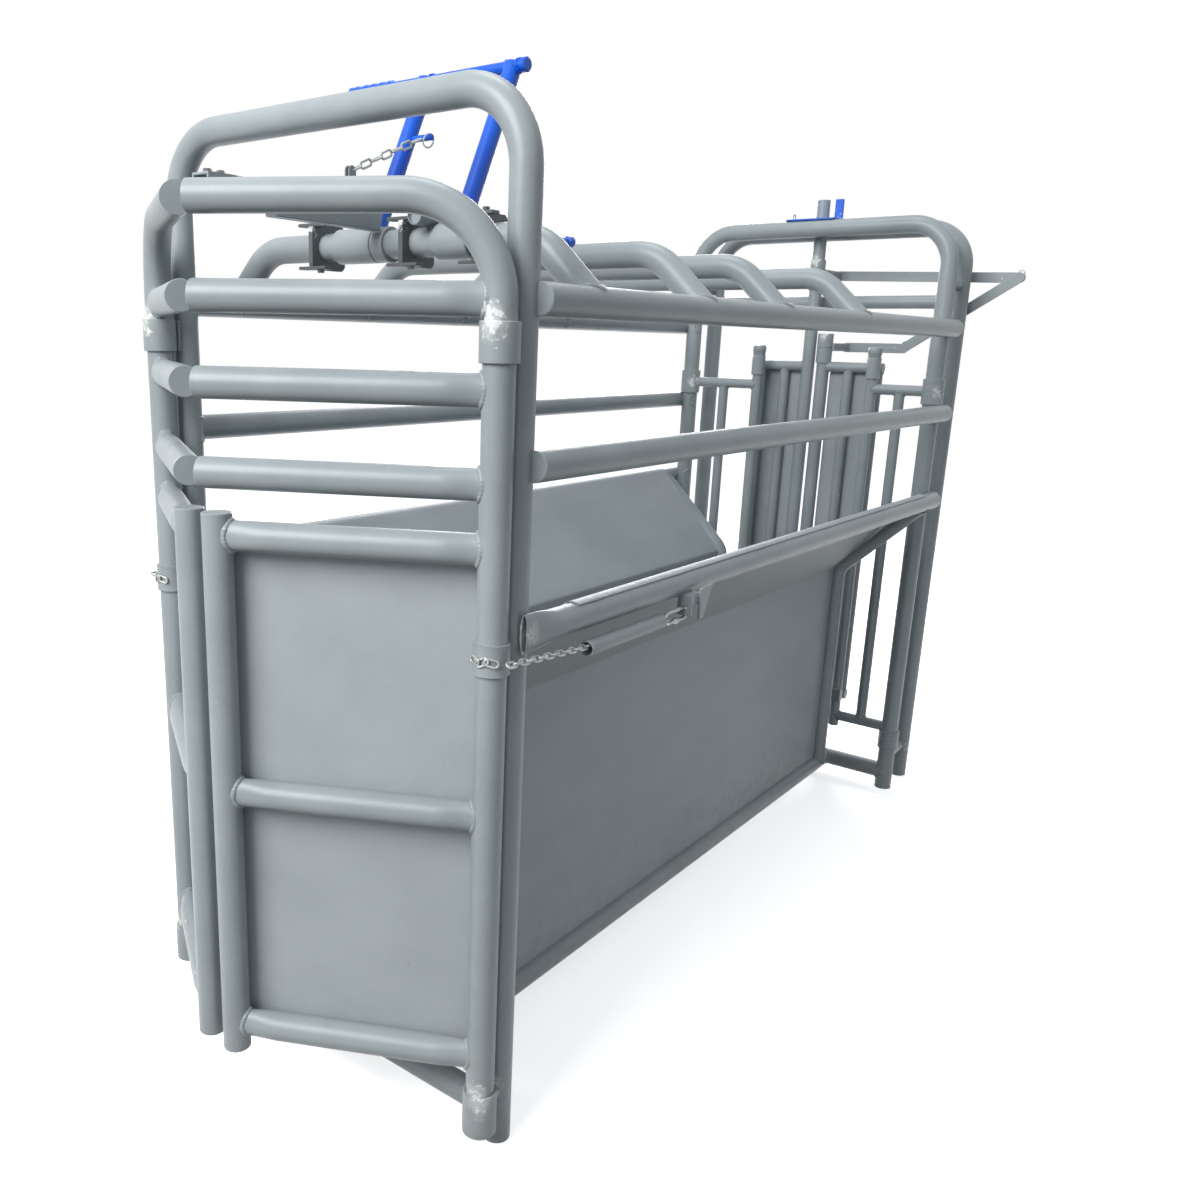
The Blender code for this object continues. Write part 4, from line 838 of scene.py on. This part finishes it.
piece = Piece("latch_beam")
sleeve(piece, LATCH_X - LATCH_W / 2, LATCH_X + LATCH_W / 2)
shape = [(TRIP[1] - 0.02, BEAM_TOP - 0.004), (-0.24, BEAM_TOP), (-0.24, BEAM_TOP - 0.008),
         (-0.162, BEAM_TOP - 0.008), (-0.14, BOW_Z + 0.027), (TRIP[1] - 0.034, BOW_Z + 0.025)]
piece.add(slab(shape, LATCH_W - 0.004, (LATCH_X, 0, 0), Y, Z, 0.002))
outer, inner = HEAD_W / 2, HEAD_W / 2 - HEAD_WALL
channel = [(-inner, -HEAD_DROP), (-inner, -0.005), (inner, -0.005), (inner, -HEAD_DROP),
           (outer, -HEAD_DROP), (outer, 0.0), (-outer, 0.0), (-outer, -HEAD_DROP)]
piece.add(slab(channel, HEAD_LEN, (TIP_X, HEAD_Y, BEAM_TOP), X, Z, 0.0008))
for way in (1, -1):
    piece.add(slab(oblong(0.022, 0.066, 0.0105), 0.003, LUG_EYE + [way * 0.0052, 0.0, -0.022], Y, Z))
piece.show(GREY, "latch", "latch_bar", [(TIP_X, HEAD_Y, BEAM_TOP)])


def hex_bolt(at, axis, height):
    """A bolt head: a six-sided stub with a chamfered top."""
    profile = [(0.0, 0.00812), (height * 0.8, 0.00812), (height, 0.00725), (height + 0.0001, 0.0029)]
    return turned(at, axis, profile, 6)


piece = Piece("latch_bolts")
for y in (-0.28, -0.25):
    piece.add(turned((TIP_X, y, BEAM_TOP - 0.001), Z, [(0.0, 0.0105), (0.0018, 0.0105), (0.002, 0.009)], 28))
    piece.add(hex_bolt((TIP_X, y, BEAM_TOP), Z, 0.0075))
piece.show(BOLT, "latch")

# Latch chain
# Short zinc links, from the latch's lug up to the pin on the lever.

high = clevis + X * LATCH_X
along = unit(high - LUG_EYE)
half = LINK_LENGTH / 2 - LINK_WIRE * 0.5
start = LUG_EYE + along * half
end = high - along * (half + 0.0055)
count = 2 * round(np.linalg.norm(end - start) / LINK_PITCH / 2) + 1
piece = Piece("latch_chain")
for i in range(count):
    across = np.cross(along, X) if i % 2 else X
    link(piece, start + (end - start) * i / (count - 1), along, across)
piece.show(ZINC, "trip_lever", "trip_chain")

# Plate clamps and the lock bolt
# Plates clamped on the bow keep the sleeves from walking along it. The near one carries a sliding bolt,
# and a cut of pipe, welded across the bow beside the middle one, stops the near sleeve.

CLAMPS = ((-0.198, "far"), (0.075, "mid"), (0.272, "near"))
CLAMP_HALF, CLAMP_CORNER = (0.05, 0.049), 0.064
CLAMP_THICK = 0.012
STOP_X, STOP_R = 0.124, 0.019
LOCK_X, LOCK_Z = 0.302, BOW_Z + 0.012

wheel = circle(1.0, 64)
reach = np.min(CLAMP_HALF / np.maximum(np.abs(wheel), 1e-6), axis=1)
ring = wheel @ [Y, Z]
square = ring * np.minimum(reach, CLAMP_CORNER)[:, None]
hole = ring * (PIPE + 0.0008)
face = X * CLAMP_THICK / 2
plate = np.array([hole - face, square - face, square + face, hole + face, hole - face])[:, ::-1]
for x, word in CLAMPS:
    piece = Piece(f"{word}_clamp_plates")
    piece.add(plate + [x, TRIP[1], BOW_Z], capped=False)
    for way in (1, -1):
        flange = (x, TRIP[1] - 0.036, BOW_Z + way * 0.0455)
        piece.add(slab(oblong(0.085, 0.026, 0.003), 0.007, flange, X, Y))
    if word == "near":
        guide = (x + 0.03, TRIP[1] + 0.07, LOCK_Z)
        piece.add(slab(oblong(0.03, 0.1, 0.003), 0.03, guide, X, Y, 0.002))
    piece.show(DARK, "frame", f"{word}_clamp", [(x, TRIP[1] - 0.04, BOW_Z + 0.045)])
    piece = Piece(f"{word}_clamp_bolts")
    for way in (1, -1):
        piece.add(hex_bolt((x + 0.02, TRIP[1] - 0.038, BOW_Z + way * 0.049), Z * way, 0.007))
    piece.show(BOLT, "frame")

piece = Piece("sleeve_stop")
bored = [(0.008, STOP_R - 0.0035), (0.0, STOP_R - 0.0025), (0.0, STOP_R - 0.0012), (0.0012, STOP_R),
         (0.09, STOP_R), (0.0912, STOP_R - 0.0012)]
piece.add(turned((STOP_X, 0.118, BOW_Z + PIPE + 0.0175), Y, bored, 36))
piece.weld((STOP_X, TRIP[1], BOW_Z), Z, X, 0.012, PIPE, size=0.004)
piece.show(GREY, "frame")

piece = Piece("lock_bolt_rod")
piece.add(rod((LOCK_X, TRIP[1] + 0.05, LOCK_Z), (LOCK_X, TRIP[1] + 0.24, LOCK_Z), 0.0071, 24))
knob = [(0.0, 0.008), (0.002, 0.011), (0.018, 0.011), (0.02, 0.009)]
piece.add(turned((LOCK_X, TRIP[1] + 0.225, LOCK_Z), Y, knob, 28))
piece.show(BLUE, "lock_bolt", "lock_bolt")

# Rear wings and rollers
# Small panels of thin pipe beside the rear opening. Bands clamp each to a rear post, and a loose sleeve
# on its inner post lets the leaf roll past.

BAR = 0.019
BAR_BEAD = 0.0034
WING_TOP, WING_LOW = 1.526, 0.246
BANDS = ((WING_TOP, 0.09), (0.2, 0.07))
POST_TOP, LEAF_TOP, LEAF_LOW = 1.665, 1.6, 0.31
ROLLER_R, ROLLER_H = 0.025, 0.075


def ladder(piece, y, start, end, post_r, bars, low, high):
    """Adds two level bars welded to a post, and slightly thinner upright bars between them."""
    for z in (high, low):
        piece.add(rod((start, y, z), (end, y, z), BAR))
        piece.weld((start, y, z), np.sign(end - start) * X, Z, BAR, post_r, size=BAR_BEAD)
    for x in bars:
        piece.strut((x, y, low), (x, y, high), BAR * 0.97, BAR, X, size=BAR_BEAD)


for side, word, inner in ((-1, "far", -0.19), (1, "near", 0.262)):
    post = side * HALF_REAR
    piece = Piece(f"{word}_wing_frame")
    piece.add(rod((inner, LENGTH, 0.205), (inner, LENGTH, POST_TOP - 0.01), BAR))
    middle = (inner + side * (HALF_REAR - PIPE)) / 2 + side * 0.01
    ladder(piece, LENGTH, inner, post, BAR, [middle], WING_LOW, WING_TOP)
    r = PIPE + 0.007
    for z, height in BANDS:
        collar(piece, (post, LENGTH, z), Z, -height / 2, height / 2, PIPE + 0.0006, r, 0.001,
               [(-0.0008, r), (0.0, r - 0.0012), (0.0008, r)])
    foot = (inner - side * 0.002, LENGTH - 0.012, WING_LOW + 0.09)
    piece.add(slab(oblong(0.05, 0.05, 0.004), 0.03, foot, Z, X, 0.002))
    cap = [(-0.026, 0.0195), (-0.024, 0.0225), (0.0, 0.0235), (0.002, 0.025), (0.018, 0.025), (0.024, 0.021),
           (0.026, 0.012)]
    piece.add(turned((inner, LENGTH, POST_TOP - 0.014), Z, cap, 36))
    piece.show(GREY, "frame", f"{word}_wing",
               [(post + 0.022, LENGTH - 0.03, WING_TOP + 0.012),
                (post + 0.03, LENGTH - 0.02, WING_TOP - 0.02)], 0.04)

    piece = Piece(f"{word}_roller_sleeve")
    collar(piece, (inner, LENGTH, LEAF_TOP), Z, -ROLLER_H / 2, ROLLER_H / 2, BAR + 0.0008, ROLLER_R, 0.0015,
           sides=40)
    piece.show(GREY, f"{word}_roller", f"{word}_roller", [(inner - 0.02, LENGTH, LEAF_TOP + 0.03)])

# Rear leaves
# Two sheeted frames of thin pipe slide apart in the slot between the rear arches. The far leaf's stile
# rises through the slot into a blue plate that rides on the arches.

LEAF_Y = LENGTH + SLOT / 2
STILE_R = 0.024
LINK_Y = ROCKER_Y + FLAT + 0.0008
ROCKER_ARM, ROCKER_LEAN = 0.226, radians(33.9)
LOWER_Z = PIVOT_Z - ROCKER_ARM * sin(ROCKER_LEAN)
UPPER_Z = 1.945
PLATE_Z = ARCH_TOP + PIPE + 0.0033
LEAVES = ((-1, "far", (-0.024, -0.116, -0.212), 2.21, UPPER_Z),
          (1, "near", (0.036, 0.139, 0.25), LEAF_TOP + 0.085, LOWER_Z))

for side, word, (stile_x, *bars), head, sleeve_z in LEAVES:
    piece = Piece(f"{word}_leaf_frame")
    piece.add(rod((stile_x, LEAF_Y, LEAF_LOW - 0.03), (stile_x, LEAF_Y, head), STILE_R))
    ladder(piece, LEAF_Y, stile_x, bars[-1] + side * BAR, STILE_R, bars, LEAF_LOW, LEAF_TOP)
    r = STILE_R + 0.005
    collar(piece, (stile_x, LEAF_Y, sleeve_z), Z, -0.06, 0.05, STILE_R, r, 0.001,
           [(-0.004, r), (-0.003, r - 0.0015), (-0.002, r)])
    lug_end = LINK_Y - 0.0008
    lug_at = (stile_x + 0.02, (LEAF_Y + lug_end) / 2, sleeve_z)
    piece.add(slab(oblong(0.03, 0.034, 0.003), lug_end - LEAF_Y, lug_at, Z, X, 0.001))
    piece.show(GREY, f"{word}_leaf", f"{word}_leaf", [(stile_x, LEAF_Y - 0.03, sleeve_z + 0.05)], 0.04)

    x0, x1 = sorted((stile_x + max(side, 0) * STILE_R, bars[-1]))
    x1 += min(side, 0) * STILE_R
    u, v = np.meshgrid(np.linspace(x0, x1, 24), np.linspace(LEAF_LOW, LEAF_TOP, 80), indexing="ij")
    dent = 0.001 * np.sin((u - x0) / (x1 - x0) * pi) * np.sin(v * 6.0)
    middle = np.stack([u, np.full(u.shape, LEAF_Y + BAR + 0.0003 + SHEET / 2), v], -1)
    Piece(f"{word}_leaf_panel").add(two_faced(middle, Y, dent)[:, ::-1]).show(
        SHEET_GREY, f"{word}_leaf", f"{word}_leaf_sheet", smooth=30)

piece = Piece("slide_plate_blue")
piece.add(slab(oblong(0.19, SLOT + 0.03, 0.01), 0.006, (-0.032, LEAF_Y, PLATE_Z), X, Y))
piece.add(slab(oblong(0.03, 0.078, 0.003), 0.012, (0.038, LEAF_Y, PLATE_Z + 0.038), X, Z))
piece.weld((-0.024, LEAF_Y, PLATE_Z - 0.02), Z, X, STILE_R + 0.0003, 0.0225, size=0.003)
piece.show(BLUE, "far_leaf", "slide_plate", [(0.038, LEAF_Y, PLATE_Z)])
piece = Piece("slide_plate_ring")
link(piece, (-0.114, LEAF_Y - 0.05, PLATE_Z + 0.012), Z, Y, 0.03, 0.022, 0.004)
piece.show(ZINC, "far_leaf")

# Rear linkage
# A flat rocker swings on the bracket pin, and a flat link runs from each end to a leaf. The pins are
# plain, kept by split rings.

ARM = np.array([cos(ROCKER_LEAN), sin(ROCKER_LEAN)]) * ROCKER_ARM
PIVOT = np.array([PIVOT_X, PIVOT_Z])
PIN_END = LINK_Y + FLAT + 0.014
BARS = (("upper", np.array([0.0, UPPER_Z]), PIVOT + ARM), ("lower", np.array([0.06, LOWER_Z]), PIVOT - ARM))


def flat_bar(start, end, y, width=0.036):
    """A flat bar in the xz plane with round ends, from one pin centre to the other."""
    ahead = end - start
    outline = stadium(np.linalg.norm(ahead) + width, width, 32, 24)
    first = unit([ahead[0], 0, ahead[1]])
    centre = (start + end) / 2
    return slab(outline, FLAT, (centre[0], y, centre[1]), first, np.cross(-Y, first), 0.001)


piece = Piece("rocker_bar")
piece.add(flat_bar(PIVOT - ARM, PIVOT + ARM, ROCKER_Y + FLAT / 2))
piece.show(GREY, "rocker", "rocker", [(PIVOT_X, ROCKER_Y, PIVOT_Z)], 0.06)
piece = Piece("pivot_washer")
washer = [(0.0, 0.0072), (0.0, 0.014), (0.002, 0.014), (0.002, 0.0072)]
piece.add(turned((PIVOT_X, ROCKER_Y + FLAT + 0.004, PIVOT_Z), Y, washer, 32), capped=False)
nut = [(0, 0.008), (0.0005, 0.0105), (0.008, 0.0105), (0.0085, 0.008)]
piece.add(turned((PIVOT_X, ROCKER_Y + FLAT + 0.0065, PIVOT_Z), Y, nut, 6))
piece.show(BOLT, "frame")

for word, start, end in BARS:
    piece = Piece(f"{word}_link_bar")
    piece.add(flat_bar(start, end, LINK_Y + FLAT / 2))
    piece.show(GREY, f"{word}_link", f"{word}_link", [(end[0], LINK_Y, end[1])], 0.035)
    piece = Piece(f"{word}_link_pins")
    piece.add(rod((end[0], LINK_Y + 0.001, end[1]), (end[0], PIN_END, end[1]), 0.006, 20))
    link(piece, (end[0], PIN_END - 0.006, end[1] + 0.011), Z, X, 0.034, 0.026, 0.004)
    piece.add(hex_bolt((start[0], LINK_Y + FLAT - 0.001, start[1]), Y, 0.008))
    piece.show(ZINC, f"{word}_link")

# Springs
# A coil lies in each spring tube behind the chain's end.

for side, word in SIDES:
    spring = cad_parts[f"{word}_spring"]
    spring.data.materials.clear()
    spring.data.materials.append(ZINC.owner)

# Floor, backdrop light and lamps
# A pale floor under soft studio light. The floor and the sky look white to the camera and to gloss.

FLOOR_HALF = 30.0
SEEN_RAYS = ("Is Camera Ray", "Is Glossy Ray", "Is Transmission Ray")


def seen_mix(finish, unseen, seen):
    """One colour for the soft light's rays, another for the rays that show."""
    shows = sum(finish.node("ShaderNodeLightPath", output=ray) for ray in SEEN_RAYS)
    return finish.mix(shows, (*unseen, 1.0), (seen, seen, seen, 1.0))


def lamp(name, at, size, power, tint=(1.0, 1.0, 1.0)):
    """A square soft box that faces the middle of the chute."""
    light = bpy.data.lights.new(name, "AREA")
    light.size = size
    light.energy = power
    light.color = tint
    forward = unit(np.subtract((0.0, 1.0, 1.0), at))
    rise = square_to(forward)[1]
    stand(name, light, at, np.cross(forward, rise), rise, forward)


corners = np.array([(-1, -1, 0), (1, -1, 0), (1, 1, 0), (-1, 1, 0)]) * FLOOR_HALF
ground = bpy.data.meshes.new("floor")
ground.from_pydata(corners.tolist(), [], [(0, 1, 2, 3)])
pale = Finish(bpy.data.materials.new("pale_floor"), Roughness=0.9, Specular_IOR_Level=0.0,
              Emission_Strength=1.0)
pale.feed("Base Color", seen_mix(pale, (0.06, 0.06, 0.055), 0.97))
pale.feed("Emission Color", seen_mix(pale, (0.0, 0.0, 0.0), 0.62))
ground.materials.append(pale.owner)
put("floor", ground)

world = bpy.data.worlds.new("studio")
bpy.context.scene.world = world
sky = Finish(world, shader="Background", Strength=1.0)
sky.feed("Color", seen_mix(sky, (0.46, 0.495, 0.53), 1.0))

lamp("key", (-0.3, -3.8, 4.1), 3.0, 285.0)
lamp("back", (-3.4, 6.2, 3.4), 3.0, 260.0)
lamp("top", (-0.6, 1.2, 6.2), 1.8, 62.0, (0.93, 0.98, 1.0))

bpy.context.scene.view_settings.view_transform = "Standard"
